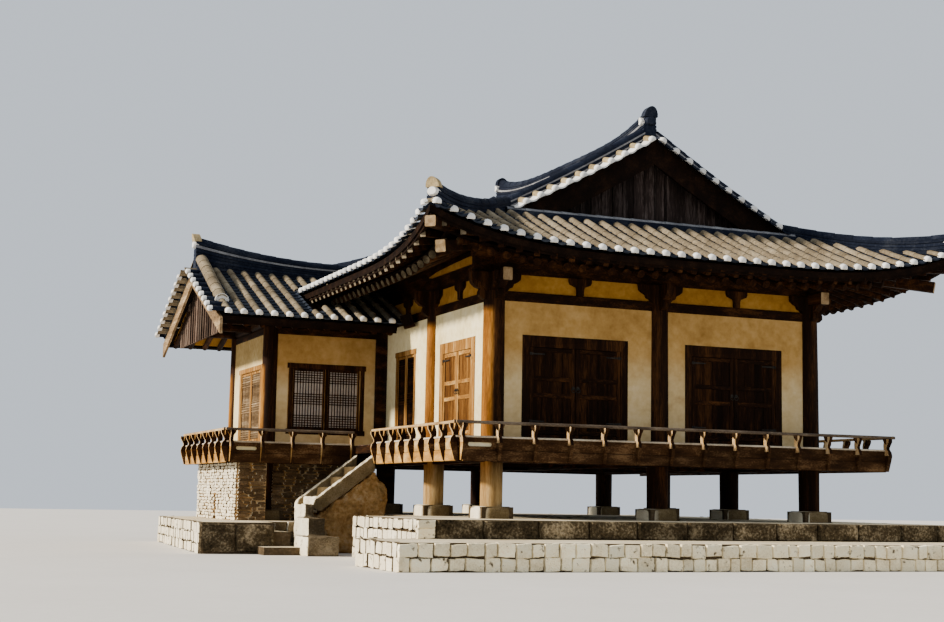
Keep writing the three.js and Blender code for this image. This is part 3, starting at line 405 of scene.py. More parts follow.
# The ridge clay is near black, with a bluish tint that is painted shade.
dark_clay = finish("ridge clay", ((0.003, 0.004, 0.009), (0.008, 0.011, 0.021), (0.032, 0.036, 0.046)),
                   scale=2.4, variation=0.2, rough=0.75)
tan_clay = finish("tan clay", ((0.13, 0.095, 0.05), (0.31, 0.235, 0.125), (0.50, 0.41, 0.25)),
                  scale=3.0, variation=0.2)
lime = finish("lime plaster", ((0.46, 0.45, 0.43), (0.72, 0.71, 0.68), (0.82, 0.81, 0.78)),
              scale=3.0, variation=0.12, rough=0.9)
mortar = finish("ridge mortar", ((0.09, 0.09, 0.10), (0.18, 0.18, 0.19), (0.32, 0.32, 0.32)),
                scale=3.0, variation=0.1, rough=0.9)

# %% Plasters
PALE_EARTH = ((0.58, 0.46, 0.22), (0.76, 0.645, 0.37), (0.87, 0.78, 0.53))
ochre = plaster("ochre plaster", ((0.255, 0.13, 0.03), (0.405, 0.235, 0.07), (0.54, 0.345, 0.13)),
                0.9, 0.03, foot=(((0.42, 0.28, 0.12), (0.60, 0.45, 0.23), (0.70, 0.57, 0.35)), 3.15))
# Deeper than the walls below: the plaster's ochre, with the eaves' shade painted in.
deep_ochre = plaster("deep ochre plaster", ((0.17, 0.07, 0.008), (0.29, 0.138, 0.018), (0.40, 0.215, 0.04)),
                     1.2, 0.03)
pale_plaster = plaster("pale plaster", PALE_EARTH)
# Painted shade: darker above 3.35 m, as under the eave, over pale plaster at the foot.
shaded_plaster = plaster("shaded plaster", ((0.24, 0.15, 0.05), (0.40, 0.27, 0.10), (0.54, 0.40, 0.19)),
                         foot=(PALE_EARTH, 3.35))
paper = finish("window paper", ((0.34, 0.28, 0.24), (0.48, 0.41, 0.355), (0.60, 0.53, 0.46)),
               scale=1.5, variation=0.05, rough=0.95, relief=0.1)

# %% Woods
DARK_WOOD = ((0.0030, 0.0010, 0.0003), (0.012, 0.0044, 0.0013), (0.072, 0.027, 0.007))
SUN_WOOD = ((0.035, 0.011, 0.001), (0.215, 0.078, 0.008), (0.46, 0.215, 0.038))
PALE_WOOD = ((0.15, 0.07, 0.014), (0.38, 0.22, 0.07), (0.64, 0.46, 0.22))
dark_wood = wood("dark wood", DARK_WOOD, GRAIN_Y)
# Nearly black: the boards' own dark with the eaves' shade painted in, also on the bargeboards.
eave_wood = finish("eave wood", ((0.002, 0.0008, 0.0004), (0.006, 0.0025, 0.001), (0.020, 0.009, 0.004)),
                   5.0, variation=0.2, rough=0.8)
edge_wood = wood("gable edge wood", ((0.04, 0.024, 0.012), (0.21, 0.135, 0.068), (0.52, 0.40, 0.25)),
                 GRAIN_Y, 0.25, 0.8)
# Painted sunlight: the ends of the rafters under the left eave are pale where they look left.
rafter_end = finish("rafter end", DARK_WOOD, 9.0, variation=0.35, rough=0.9,
                    bleached=(((0.05, 0.04, 0.025), (0.14, 0.11, 0.07), (0.30, 0.25, 0.17)), 8.0, -1.15))
round_end = finish("round rafter end", DARK_WOOD, 9.0, variation=0.35, rough=0.9,
                   bleached=(((0.015, 0.011, 0.006), (0.05, 0.038, 0.022), (0.17, 0.135, 0.085)), 8.0, -1.15))
hip_end = finish("hip end", ((0.10, 0.06, 0.028), (0.26, 0.175, 0.09), (0.44, 0.33, 0.20)), 9.0,
                 variation=0.2, rough=0.9)
grey_boards = wood("weathered boards", ((0.008, 0.005, 0.004), (0.055, 0.034, 0.024), (0.27, 0.20, 0.15)),
                   GRAIN_Z, 0.6, 0.85, 0.6, 0.01)
gable_boards = wood("gable boards", ((0.004, 0.003, 0.003), (0.022, 0.015, 0.013), (0.13, 0.10, 0.09)),
                    GRAIN_Z, 0.6, 0.85, 0.6, 0.01)

# %% Stones and iron
# Painted sunlight: stones with this layer turn pale where they look to the left, at any height.
IN_THE_SUN = (((0.46, 0.38, 0.24), (0.76, 0.67, 0.48), (0.92, 0.86, 0.68)), 5.0, EVERYWHERE)
granite = stone("granite", ((0.05, 0.034, 0.014), (0.15, 0.106, 0.05), (0.30, 0.23, 0.13)),
                0.15, 0.6, 0.015, 30.0, bleached=IN_THE_SUN)
rubble_mortar = stone("earth mortar", ((0.09, 0.042, 0.012), (0.34, 0.19, 0.062), (0.56, 0.38, 0.18)),
                      0.05, 1.0, 0.07, 7.0, rough=0.95, stain=((0.56, 0.44, 0.27), 2.4, 0.53, 0.68))
iron = finish("black iron", ((0.006, 0.006, 0.006), (0.02, 0.018, 0.016), (0.05, 0.035, 0.025)),
              scale=12.0, variation=0.1, rough=0.55)

# %% [markdown]
# ## The shape of the roofs
#
# A roof like this is a hanging curve in both directions: it steepens towards the ridge, and its
# eaves sweep up and out at the corners. The same formulas that shaped the construction place each
# tile here. `s` is the level distance in from the eave and `c` the distance from the corner.

# %% The main roof as a surface
WIDTH, DEPTH = 5.56, 7.2
FRONT_BAY, SIDE_BAY, WING_BAY = 2.78, 2.4, 2.164
WING_FRONT = 2 * SIDE_BAY
EAVE_Z = 4.385
OVERHANG = 1.72
ROOF_LEFT, ROOF_RIGHT = -OVERHANG, WIDTH + OVERHANG
ROOF_FRONT, ROOF_BACK = -OVERHANG, 8.35
ROOF_WIDTH, ROOF_DEPTH = ROOF_RIGHT - ROOF_LEFT, ROOF_BACK - ROOF_FRONT
HALF_SPAN = ROOF_WIDTH / 2
MIDDLE_Y = (ROOF_FRONT + ROOF_BACK) / 2
CORNER_LIFT, LIFT_REACH, EAVE_INSET = 0.52, 3.6, 0.12
RIDGE_SAG, HIP_DEPTH = 0.06, 2.2
VERGE_FRONT = 0.15
VERGE_BACK = ROOF_FRONT + ROOF_BACK - VERGE_FRONT


def corner_rise(c):
    return max(0.0, 1 - c / LIFT_REACH) ** 3


def eave_bow(c):
    """How far the eave lies in from the straight line between its corners."""
    return EAVE_INSET * (1 - corner_rise(c))


def edge_distances(x, y):
    """How far in a point is from the nearer side eave, and from the nearer end eave."""
    return min(x - ROOF_LEFT, ROOF_RIGHT - x), min(y - ROOF_FRONT, ROOF_BACK - y)


def main_surface(x, y, hipped):
    """Height of the front or back slope (hipped), or of a side slope, over a point on the ground."""
    from_side, from_end = edge_distances(x, y)
    s, c = (from_end, from_side) if hipped else (from_side, from_end)
    back = min(1.0, max(0.0, (y - WING_FRONT) / (ROOF_BACK - WING_FRONT)))
    raised = 0.2 * back * back * (3 - 2 * back) * max(0.0, 1 - s / HIP_DEPTH)
    lift = CORNER_LIFT * corner_rise(c) * max(0.0, 1 - s / (HALF_SPAN + 0.1))
    along = (y - MIDDLE_Y) / ((VERGE_BACK - VERGE_FRONT) / 2)
    up = 0.0 if hipped else max(0.0, (s - HIP_DEPTH) / (HALF_SPAN - HIP_DEPTH))
    sag = RIDGE_SAG * max(0.0, 1 - along * along) * up * up
    return EAVE_Z + 0.4 * s + 0.025 * s * s + lift + raised - sag


def side_height(x, y):
    return main_surface(x, y, False)


def end_height(x, y):
    return main_surface(x, y, True)


def main_height(x, y):
    """Height of the upper surface of the main roof over a point on the ground."""
    from_side, from_end = edge_distances(x, y)
    return main_surface(x, y, from_end < from_side and not VERGE_FRONT <= y <= VERGE_BACK)


# %% The wing's roof, and slopes to walk on
WING_EAVE_Z = 3.83
WING_ROOF_FRONT, WING_ROOF_BACK = 3.6, 8.4
WING_RIDGE_Y = (WING_ROOF_FRONT + WING_ROOF_BACK) / 2
WING_HALF = (WING_ROOF_BACK - WING_ROOF_FRONT) / 2
WING_VERGE, WING_ROOF_RIGHT = -3.3, -0.26


def wing_height(x, y):
    """Height of the wing's roof over a point on the ground."""
    s = min(y - WING_ROOF_FRONT, WING_ROOF_BACK - y)
    near = max(0.0, 1 - (x - WING_VERGE) / 2.2) ** 2
    return WING_EAVE_Z + 0.42 * s + near * 0.07 * (s / WING_HALF)


def on_main(x, y):
    return ROOF_LEFT <= x <= ROOF_RIGHT and ROOF_FRONT <= y <= ROOF_BACK


def on_wing(x, y):
    return WING_VERGE <= x <= 0.1 and WING_ROOF_FRONT <= y <= WING_ROOF_BACK


class Slope:
    """A slope is walked by t, along its eave, and s, in from it, with the roof on the left."""

    def __init__(self, start, along, length, height):
        self.start = start
        self.along = along
        self.length = length
        self.height = height

    def ground(self, t, s):
        (x0, y0), (ax, ay) = self.start, self.along
        return x0 + ax * t - ay * s, y0 + ay * t + ax * s

    def at(self, t, s, lift=0.0):
        x, y = self.ground(t, s)
        return Vector((x, y, self.height(x, y) + lift))

    def from_corner(self, t):
        return min(t, self.length - t)


MAIN_SLOPES = [Slope((ROOF_LEFT, ROOF_FRONT), (1, 0), ROOF_WIDTH, end_height),
               Slope((ROOF_RIGHT, ROOF_FRONT), (0, 1), ROOF_DEPTH, side_height),
               Slope((ROOF_RIGHT, ROOF_BACK), (-1, 0), ROOF_WIDTH, end_height),
               Slope((ROOF_LEFT, ROOF_BACK), (0, -1), ROOF_DEPTH, side_height)]
WING_SLOPES = [Slope((WING_VERGE, WING_ROOF_FRONT), (1, 0), -WING_VERGE, wing_height),
               Slope((0.0, WING_ROOF_BACK), (-1, 0), -WING_VERGE, wing_height)]
QUARTERS = [(flip_x, flip_y) for flip_x in (False, True) for flip_y in (False, True)]


def carried(x, y, flip_x, flip_y):
    """A place in the front left quarter of the main roof, carried over to another quarter."""
    return (WIDTH - x if flip_x else x), (ROOF_FRONT + ROOF_BACK - y if flip_y else y)


print("main ridge height", round(main_height(WIDTH / 2, MIDDLE_Y), 3))

# %% [markdown]
# ## Laying the tiles
#
# Two shapes make the roof. Wide shallow pans lie hollow side up and overlap like scales. Half-round
# cover tiles hide the joints between the columns of pans and run as unbroken ribs up the slope.
# Every column stops at a hip, a ridge or a verge. Where the two roofs run through each other, a
# tile is laid only if its own roof is the upper one there. At the eave each cover is plugged with
# lime plaster, which shows as a row of white discs.

# %% Pans and covers
TILE_PITCH = 0.2575
COVER_RADIUS = 0.062
COVER_LIFT = 0.035
COVER_STEP = 0.30
PAN_STEP = 0.16
RIDGE_CLEAR = 0.09
FOOT_RIDGE_Y = 0.07
COVER_ARC = arch(8)
PAN_ARC = [-1.0, -0.6, -0.2, 0.2, 0.6, 1.0]


def tile_axes(low, high, side):
    """The level direction across a tile, the one up along it, and the one square to its back."""
    side = Vector(side).normalized()
    up = (high - low).normalized()
    return side, up, side.cross(up)


def lay_cover(pile, low, high, side, radius=COVER_RADIUS, finish=0):
    """One half-round tile, its lower end a little wider and higher than the next one's top."""
    side, _, out = tile_axes(low, high, side)
    rows = []
    for centre, grow, lift in ((low, 0.85, 0.005), (low, 1.0, 0.005), (high, 0.96, 0.0)):
        middle, reach = centre + out * (COVER_LIFT + lift), grow * radius
        rows.append([middle + side * (a * reach) + out * (b * reach) for a, b in COVER_ARC])
    pile.sheet(rows, finish)


def lay_pan(pile, low, high, side, width, finish=0):
    """One pan: hollow across its width, with the edge of its lower end standing on the next one."""
    side, _, out = tile_axes(low, high, side)
    rows = []
    for centre, lift in ((low, -0.004), (low, 0.02), (high, 0.0)):
        rows.append([centre + side * (a * width / 2) + out * (0.012 + 0.035 * a * a + lift)
                     for a in PAN_ARC])
    pile.sheet(rows, finish)


def lay_plug(pile, low, high, side, finish=0):
    """The plaster that closes a cover at the eave, slightly domed."""
    side, up, out = tile_axes(low, high, side)
    middle = low + out * (COVER_LIFT + 0.012)
    rim = [(math.cos(a), math.sin(a)) for a in np.linspace(-0.35, math.pi + 0.35, 14)]
    rings = []
    for reach, forward in ((0.95, -0.05), (0.98, 0.004), (0.82, 0.020), (0.45, 0.030)):
        grow = COVER_RADIUS * reach
        rings.append([middle + side * (a * grow) + out * (b * grow) - up * forward for a, b in rim])
    pile.loft(rings, finish, caps=(False, True))


# %% Both roofs, column by column
def columns(length):
    """Places of columns set out evenly from the middle of an eave."""
    half = int((length / 2 - 0.1) / TILE_PITCH)
    return [length / 2 + k * TILE_PITCH for k in range(-half, half + 1)]


def main_column(slope, t):
    """Where a column of the main roof starts and ends, as distances in from the eave."""
    c = slope.from_corner(t)
    start = eave_bow(c) - 0.02
    hipped = slope.along[0] != 0
    if hipped:
        return start, min(c, FOOT_RIDGE_Y - ROOF_FRONT - 0.13)
    on_upper = c > VERGE_FRONT - ROOF_FRONT + 0.24
    return start, (HALF_SPAN - RIDGE_CLEAR if on_upper else min(c, HIP_DEPTH + 0.1))


def wing_column(slope, t):
    return 0.0, WING_HALF - 0.08


def main_tile_shows(x, y):
    """Off the wing, or over it."""
    return not on_wing(x, y) or main_height(x, y) > wing_height(x, y) + 0.02


def wing_tile_shows(x, y):
    """Off the main roof, over it, or so far under its eave that the tiles can be seen there."""
    gap = wing_height(x, y) - main_height(x, y)
    return not on_main(x, y) or gap > -0.03 or gap < -0.45


def tile_roof(whose, slopes, column, shows):
    covers, pans, plugs = Pile(), Pile(), Pile()
    for slope in slopes:
        across = (*slope.along, 0)
        for t in columns(slope.length):
            for step, shift in ((COVER_STEP, 0.0), (PAN_STEP, TILE_PITCH / 2)):
                place = min(t + shift, slope.length - 0.05)
                start, end = column(slope, place)
                if end - start < 0.1:
                    continue
                pieces = max(1, round((end - start) / step))
                for k in range(pieces):
                    s0, s1 = (start + (end - start) * (k + extra) / pieces for extra in (0, 1))
                    if not shows(*slope.ground(place, (s0 + s1) / 2)):
                        continue
                    low, high = slope.at(place, s0), slope.at(place, s1)
                    if shift:
                        lay_pan(pans, low, high, across, TILE_PITCH - 0.05)
                        continue
                    lay_cover(covers, low, high, across)
                    if k == 0:
                        lay_plug(plugs, low, high, across)
    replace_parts(covers.piece(whose + "_cover_tiles", [cover_clay], "tiles", smooth=True), whose + "_roof")
    pans.piece(whose + "_pan_tiles", [pan_clay], "tiles", smooth=True)
    plugs.piece(whose + "_eave_plaster", [lime], "tiles", smooth=True)


tile_roof("main", MAIN_SLOPES, main_column, main_tile_shows)
tile_roof("wing", WING_SLOPES, wing_column, wing_tile_shows)

# %% [markdown]
# ## Verges
#
# At a gable the slope ends in short tiles turned outward, so that rain drips clear of the boards.
# They climb the slope like steps, each one closed with plaster. On the main roof the left half,
# towards the sun, has tan covers over pale lime crescents as painted sunlight, and the right half
# has both in dark clay as painted shade. On the main roof their outer ends hang lower.

# %% Short tiles along the verges
VERGE_PITCH = 0.241
VERGE_TILE = 0.30
MAIN_VERGE_OUT = 0.14
WING_VERGE_OUT = 0.20
MAIN_VERGE_FALL, WING_VERGE_FALL = 0.09, 0.012


def verge_row(pile, edge_points, outward, finishes, fall):
    """A short tile at each point of a verge, square to the slope. Its outer end is lower by the fall."""
    outward = Vector(outward)
    cover, plug, pan = finishes
    for before, here in zip(edge_points, edge_points[1:]):
        slope_way = here - before
        low = here - Vector((0, 0, fall))
        high = here - outward * VERGE_TILE
        side = slope_way if slope_way.cross(high - low).z > 0 else -slope_way
        lay_cover(pile, low, high, side, finish=cover)
        lay_plug(pile, low, high, side, finish=plug)
        middle = (before + here) / 2
        lip = middle + outward * 0.01 - Vector((0, 0, fall))
        lay_pan(pile, lip, middle - outward * VERGE_TILE, side, slope_way.length - 0.06, pan)


def main_verges():
    pile = Pile()
    for verge, way in ((VERGE_FRONT, -1), (VERGE_BACK, 1)):
        for mirror in (False, True):
            points = []
            for k in range(11):
                x = 0.30 + VERGE_PITCH * k
                x = WIDTH - x if mirror else x
                points.append(Vector((x, verge + way * MAIN_VERGE_OUT, side_height(x, verge))))
            # Painted light: the left half, towards the sun, gets tan covers and lime pans; the right half
            # gets dark clay, as painted shade.
            verge_row(pile, points, (0, way, 0), (1, 0, 1) if mirror else (2, 0, 0), MAIN_VERGE_FALL)
    pile.piece("main_verge_tiles", [lime, dark_clay, tan_clay], "tiles", smooth=True)


def wing_verge():
    pile = Pile()
    for side in (-1, 1):
        points = []
        for k in range(10):
            y = WING_RIDGE_Y + side * (0.12 + VERGE_PITCH * k)
            points.append(Vector((WING_VERGE - WING_VERGE_OUT, y, wing_height(WING_VERGE, y))))
        verge_row(pile, points, (-1, 0, 0), (1, 0, 2), WING_VERGE_FALL)
    pile.piece("wing_verge_tiles", [lime, dark_clay, cover_clay], "tiles", smooth=True)


main_verges()
wing_verge()

# %% [markdown]
# ## Ridges
#
# A ridge is a low wall of flat tiles bedded in mortar, one course on another, with a row of cover
# tiles along its top. Each is lofted from one outline that steps in and out at the courses, carried
# along the line of the roof. The ends are closed with an upturned tile over a pad of plaster.

# %% Ridges in courses
RIDGE_SINK = 0.06
TOP_TILES = 0.09
DESCENT_X, DESCENT_Y = 0.30, 0.32
HIP_START, HIP_END = 0.33, -1.62
MAIN_RIDGE_FRONT, MAIN_RIDGE_BACK = 0.25, 6.29
RIDGE_TOP, RIDGE_RISE = 6.92, 0.28
WING_RIDGE_TOP, WING_RIDGE_RISE = 5.2, 0.31


def smooth_path(function, start, end, steps):
    return [function(start + (end - start) * k / steps) for k in range(steps + 1)]


def course_outline(half_width, height, courses, lines):
    """Half of a ridge's outline, from its foot up, and which of its faces show a line of pale mortar."""
    points, kinds = [], []
    for k in range(courses):
        w = half_width * (1 - 0.25 * k / courses)
        z0, z1 = height * k / courses, height * (k + 0.68) / courses
        points += [(w, z0), (w, z1), (w - 0.016, z1), (w - 0.016, height * (k + 1) / courses)]
        kinds += [int(k in lines), 0, 0, 0]
    return points, kinds


def build_ridge(pile, path, half_width, courses, cap_radius=0.085, cap=2, lines=()):
    """path holds (point at the foot, height to the underside of the top tiles)."""
    rings = []
    for k, (foot, height) in enumerate(path):
        before, after = path[max(0, k - 1)][0], path[min(len(path) - 1, k + 1)][0]
        way = after - before
        side = Vector((way.y, -way.x, 0)).normalized()
        half, kinds = course_outline(half_width, height, courses, lines)
        right = [foot + side * a + Vector((0, 0, b)) for a, b in half]
        left = [foot - side * a + Vector((0, 0, b)) for a, b in reversed(half)]
        rings.append(right + left)
    pile.loft(rings, kinds[:-1] + [0] + kinds[-2::-1] + [0])
    tops = [foot + Vector((0, 0, height - COVER_LIFT - 0.02)) for foot, height in path]
    lengths = np.cumsum([0] + [(b - a).length for a, b in zip(tops, tops[1:])])
    marks = np.linspace(0, lengths[-1], max(1, round(lengths[-1] / COVER_STEP)) + 1)
    along = [Vector([np.interp(m, lengths, [p[i] for p in tops]) for i in range(3)]) for m in marks]
    for low, high in zip(along, along[1:]):
        low, high = (low, high) if low.z <= high.z else (high, low)
        way = high - low
        lay_cover(pile, low, high, (way.y, -way.x, 0), cap_radius, cap)


def end_tile(pile, place, outward, width, height, finish, backing):
    """The upturned tile that closes a ridge: a half-round plate leaning out, over a pad of plaster."""
    outward = Vector(outward).normalized()
    side = Vector((outward.y, -outward.x, 0))
    lean = (Vector((0, 0, 1)) + outward * 0.25).normalized()
    rings = []
    for depth in (-0.10, 0.03):
        rings.append([place + outward * depth + side * (a * width / 2) + lean * (b * height)
                      for a, b in arch(10)])
    pile.loft(rings, finish)
    rings = []
    for depth, grow in ((-0.16, 0.8), (0.0, 1.0), (0.045, 0.7)):
        rings.append([place + outward * depth + side * (a * grow * width * 0.44)
                      + Vector((0, 0, (b * grow * 0.5 - 0.38) * height)) for a, b in circle(16)])
    pile.loft(rings, backing)


def foot_at(x, y, height):
    """A point of a ridge's foot, sunk a little into the slope."""
    return Vector((x, y, height(x, y) - RIDGE_SINK))


# %% The ridges of both roofs
def main_ridge_path():
    def place(y):
        foot = foot_at(WIDTH / 2, y, side_height)
        v = (2 * (y - MAIN_RIDGE_FRONT) / (MAIN_RIDGE_BACK - MAIN_RIDGE_FRONT)) - 1
        return foot, RIDGE_TOP + RIDGE_RISE * v ** 4 - foot.z - TOP_TILES
    return smooth_path(place, MAIN_RIDGE_FRONT, MAIN_RIDGE_BACK, 24)


def corner_paths(quarter):
    """The two ridges of a quarter of the roof: down the verge, and down the hip."""
    def descent(u):
        x, y = carried(WIDTH / 2 + (DESCENT_X - WIDTH / 2) * u, DESCENT_Y, *quarter)
        return foot_at(x, y, side_height), 0.26 - 0.06 * u + RIDGE_SINK - TOP_TILES

    def hip(u):
        d = HIP_START + (HIP_END - HIP_START) * u
        x, y = carried(d, d, *quarter)
        return foot_at(x, y, side_height), 0.215 + 0.135 * u + RIDGE_SINK - TOP_TILES

    return smooth_path(descent, 0.04, 1, 10), smooth_path(hip, 0, 1, 10)


def gable_foot_path(flip_y):
    """The low ridge at the foot of a gable."""
    y = carried(0, FOOT_RIDGE_Y, False, flip_y)[1]
    height = end_height(WIDTH / 2, y)
    return smooth_path(lambda x: (Vector((x, y, height - RIDGE_SINK)), 0.14), 0.2, WIDTH - 0.2, 8)


def main_ridges():
    pile = Pile()
    build_ridge(pile, main_ridge_path(), 0.13, 8, 0.09, lines=(2, 5))
    top = RIDGE_TOP + RIDGE_RISE
    for y, way in ((MAIN_RIDGE_FRONT, -1), (MAIN_RIDGE_BACK, 1)):
        end_tile(pile, Vector((WIDTH / 2, y, top - 0.16)), (0, way, 0), 0.24, 0.17, 0, 0)
        patch = Vector((WIDTH / 2 - 0.115, y - way * 0.07, top - 0.24))
        end_tile(pile, patch, (-1, 0, 0), 0.10, 0.07, 3, 3)
    for flip_x, flip_y in QUARTERS:
        descent, hip = corner_paths((flip_x, flip_y))
        build_ridge(pile, descent, 0.105, 5, lines=(0, 2, 4))
        build_ridge(pile, hip, 0.105, 5)
        foot, height = hip[-1]
        outward = (1 if flip_x else -1, 1 if flip_y else -1, 0)
        end_tile(pile, foot + Vector((0, 0, height - 0.035)), outward, 0.20, 0.145, 4, 3)
    for flip_y in (False, True):
        build_ridge(pile, gable_foot_path(flip_y), 0.12, 2, 0.07, cap=5)
    materials = [dark_clay, mortar, dark_clay, lime, tan_clay, mortar]
    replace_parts(pile.piece("main_ridge_tiles", materials, "tiles", smooth=True), "main_ridges")


def wing_ridges():
    pile = Pile()

    def along(x):
        foot = foot_at(x, WING_RIDGE_Y, wing_height)
        rise = WING_RIDGE_RISE * max(0.0, 1 - (x - WING_VERGE) / 2.6) ** 2
        return foot, WING_RIDGE_TOP + rise - foot.z - TOP_TILES

    build_ridge(pile, smooth_path(along, WING_VERGE, -0.05, 18), 0.12, 8, lines=(6,))
    tip = Vector((WING_VERGE, WING_RIDGE_Y, WING_RIDGE_TOP + WING_RIDGE_RISE - 0.12))
    end_tile(pile, tip, (-1, 0, 0), 0.20, 0.15, 4, 3)
    for side in (-1, 1):
        def down(u, side=side):
            place = foot_at(WING_VERGE + 0.1, WING_RIDGE_Y + side * u * WING_HALF, wing_height)
            return place, 0.33 - 0.19 * u + RIDGE_SINK - 0.11

        path = smooth_path(down, 0.04, 0.78, 8)
        build_ridge(pile, path, 0.10, 3, 0.11, cap=5)
        foot, height = path[-1]
        end_tile(pile, foot + Vector((0, 0, height - 0.03)), (0, side, 0), 0.24, 0.13, 3, 3)
    materials = [dark_clay, mortar, dark_clay, lime, tan_clay, cover_clay]
    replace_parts(pile.piece("wing_ridge_tiles", materials, "tiles", smooth=True), "wing_ridges")


main_ridges()
wing_ridges()

# %% [markdown]
# ## Boards under the eaves
#
# Boards lie over the rafters and close the roof from below, with a lath along their edge. A flat
# sheet wouldn't follow the sweep of the eaves. So each layer is a grid of points on the same roof
# surface as the tiles, only lower, and a second grid under it gives it thickness.

# %% Boards that follow a slope
BOARD_DROP, BOARD_THICK, WING_BOARD_THICK = 0.035, 0.095, 0.08
INNER_DROP = 0.262
LATH_WIDTH, LATH_HEIGHT = 0.06, 0.05
EAVE_STEPS = 28


def slope_layer(pile, slope, place, drop, thick, levels=4):
    """A closed layer under a slope. place(u, v) gives t along the eave and s in from it."""
    wide = EAVE_STEPS + 1
    grid = [(j / EAVE_STEPS, i / levels) for i in range(levels + 1) for j in range(wide)]
    top = [slope.at(*place(u, v), -drop) for u, v in grid]
    under = [point - Vector((0, 0, thick)) for point in top]
    count = len(top)
    faces = []
    for i in range(levels):
        for a in range(i * wide, i * wide + EAVE_STEPS):
            b = a + wide
            faces.append((a, a + 1, b + 1, b))
            faces.append((a + count, b + count, b + 1 + count, a + 1 + count))
    rim = list(range(wide)) + [(i + 1) * wide - 1 for i in range(1, levels + 1)]
    rim += [levels * wide + j for j in reversed(range(EAVE_STEPS))]
    rim += [i * wide for i in reversed(range(1, levels))]
    faces += [(a, a + count, b + count, b) for a, b in zip(rim, rim[1:] + rim[:1])]
    pile.add(top + under, faces)


def from_eave(slope, inset, reach):
    """Places on a slope that is mitred at its corners and whose eave bows in."""
    def place(u, v):
        edge = eave_bow(min(u, 1 - u) * slope.length) + inset
        s = edge + v * (reach - edge)
        return s + u * (slope.length - 2 * s), s
    return place


def rectangle(t0, t1, s0, s1):
    return lambda u, v: (t0 + u * (t1 - t0), s0 + v * (s1 - s0))


def eave_lath(pile, slope, place, drop):
    """A square lath that follows the eave under the tiles."""
    down = Vector((0, 0, LATH_HEIGHT))
    rings = []
    for k in range(EAVE_STEPS + 1):
        t, s = place(k / EAVE_STEPS, 0)
        near, far = slope.at(t, s, -drop), slope.at(t, s + LATH_WIDTH, -drop)
        rings.append([near, far, far - down, near - down])
    pile.loft(rings)


def roof_boards():
    pile = Pile()
    for slope in MAIN_SLOPES:
        slope_layer(pile, slope, from_eave(slope, 0.03, HIP_DEPTH), BOARD_DROP, BOARD_THICK)
        slope_layer(pile, slope, from_eave(slope, 0.52, OVERHANG + 0.1), INNER_DROP, 0.03, levels=2)
        eave_lath(pile, slope, from_eave(slope, 0.06, 1), BOARD_DROP + BOARD_THICK)
        eave_lath(pile, slope, from_eave(slope, 0.44, 1), INNER_DROP)
    upper = rectangle(VERGE_FRONT - ROOF_FRONT, VERGE_BACK - ROOF_FRONT, HIP_DEPTH - 0.1, HALF_SPAN)
    for slope in (MAIN_SLOPES[1], MAIN_SLOPES[3]):
        slope_layer(pile, slope, upper, BOARD_DROP, BOARD_THICK, levels=6)
    for slope in WING_SLOPES:
        start = 0.01 if slope.along[0] > 0 else -WING_ROOF_RIGHT
        end = start + WING_ROOF_RIGHT - WING_VERGE - 0.01
        slope_layer(pile, slope, rectangle(start, end, 0.03, WING_HALF), BOARD_DROP, WING_BOARD_THICK)
        eave_lath(pile, slope, rectangle(start, end, 0.05, 1), BOARD_DROP + WING_BOARD_THICK)
    pile.piece("roof_boards", [eave_wood], "boards")


roof_boards()

# %% [markdown]
# ## Rafters
#
# Two rows of rafters carry the overhang. Round ones rest on the purlin, and square flying rafters
# on their backs lift the edge. At a corner they open like a fan on the two sides of a heavy hip
# rafter. Each is a log or a beam between two points under the roof surface. Near a corner the
# roots lie closer together than the tips, and that opens the fan.

# %% Rafters
RAFTER_PITCH, WING_RAFTER_PITCH = 0.24, 0.28
ROUND_RAFTER, WING_RAFTER = 0.062, 0.052
RAFTER_TIP, RAFTER_ROOT = 0.5, 2.05
FAN_REACH = 2.9
FIRST_TIP = 0.66
HIP_TIMBERS = [(0.3, -1.42, 0.53, 0.15, 0.17), (-0.7, -1.67, 0.26, 0.16, 0.15)]


def below_wing(point):
    return on_wing(point.x, point.y) and point.z < wing_height(point.x, point.y) + 0.05


def fan(slope, tip_t, s, drop):
    """A point of a rafter, which is square to the eave in the middle and turns to the hip near a corner."""
    c = slope.from_corner(tip_t)
    root = c if c >= FAN_REACH else OVERHANG + (FAN_REACH - OVERHANG) * (c - 0.25) / (FAN_REACH - 0.25)
    t = root + (c - root) * (OVERHANG - s) / (OVERHANG - RAFTER_TIP)
    return slope.at(t if tip_t < slope.length / 2 else slope.length - t, s, -drop)


def main_rafters(rounds, squares):
    for slope in MAIN_SLOPES:
        span = slope.length - 2 * FIRST_TIP
        count = round(span / RAFTER_PITCH)
        for k in range(count + 1):
            tip_t = FIRST_TIP + span * k / count
            tip, rest = fan(slope, tip_t, RAFTER_TIP, 0.37), fan(slope, tip_t, OVERHANG, 0.342)
            if not below_wing(tip):
                root = tip + (rest - tip) * ((RAFTER_ROOT - RAFTER_TIP) / (OVERHANG - RAFTER_TIP))
                log_between(rounds, tip, root, ROUND_RAFTER, 10, cap=1)
            tip = fan(slope, tip_t, eave_bow(slope.from_corner(tip_t)) + 0.07, 0.185)
            if not below_wing(tip):
                root = fan(slope, tip_t, 1.0, 0.205)
                beam_between(squares, tip, root, 0.085, 0.095, cap=1, chamfer=0.006)


def hip_rafters(pile):
    """Two timbers on each other's backs at each corner, given by the places of their ends and a drop."""
    for quarter in QUARTERS:
        for inner, outer, drop, width, height in HIP_TIMBERS:
            grounds = [carried(d, d, *quarter) for d in (outer, inner)]
            ends = [Vector((x, y, side_height(x, y) - drop)) for x, y in grounds]
            beam_between(pile, *ends, width, height, cap=2)


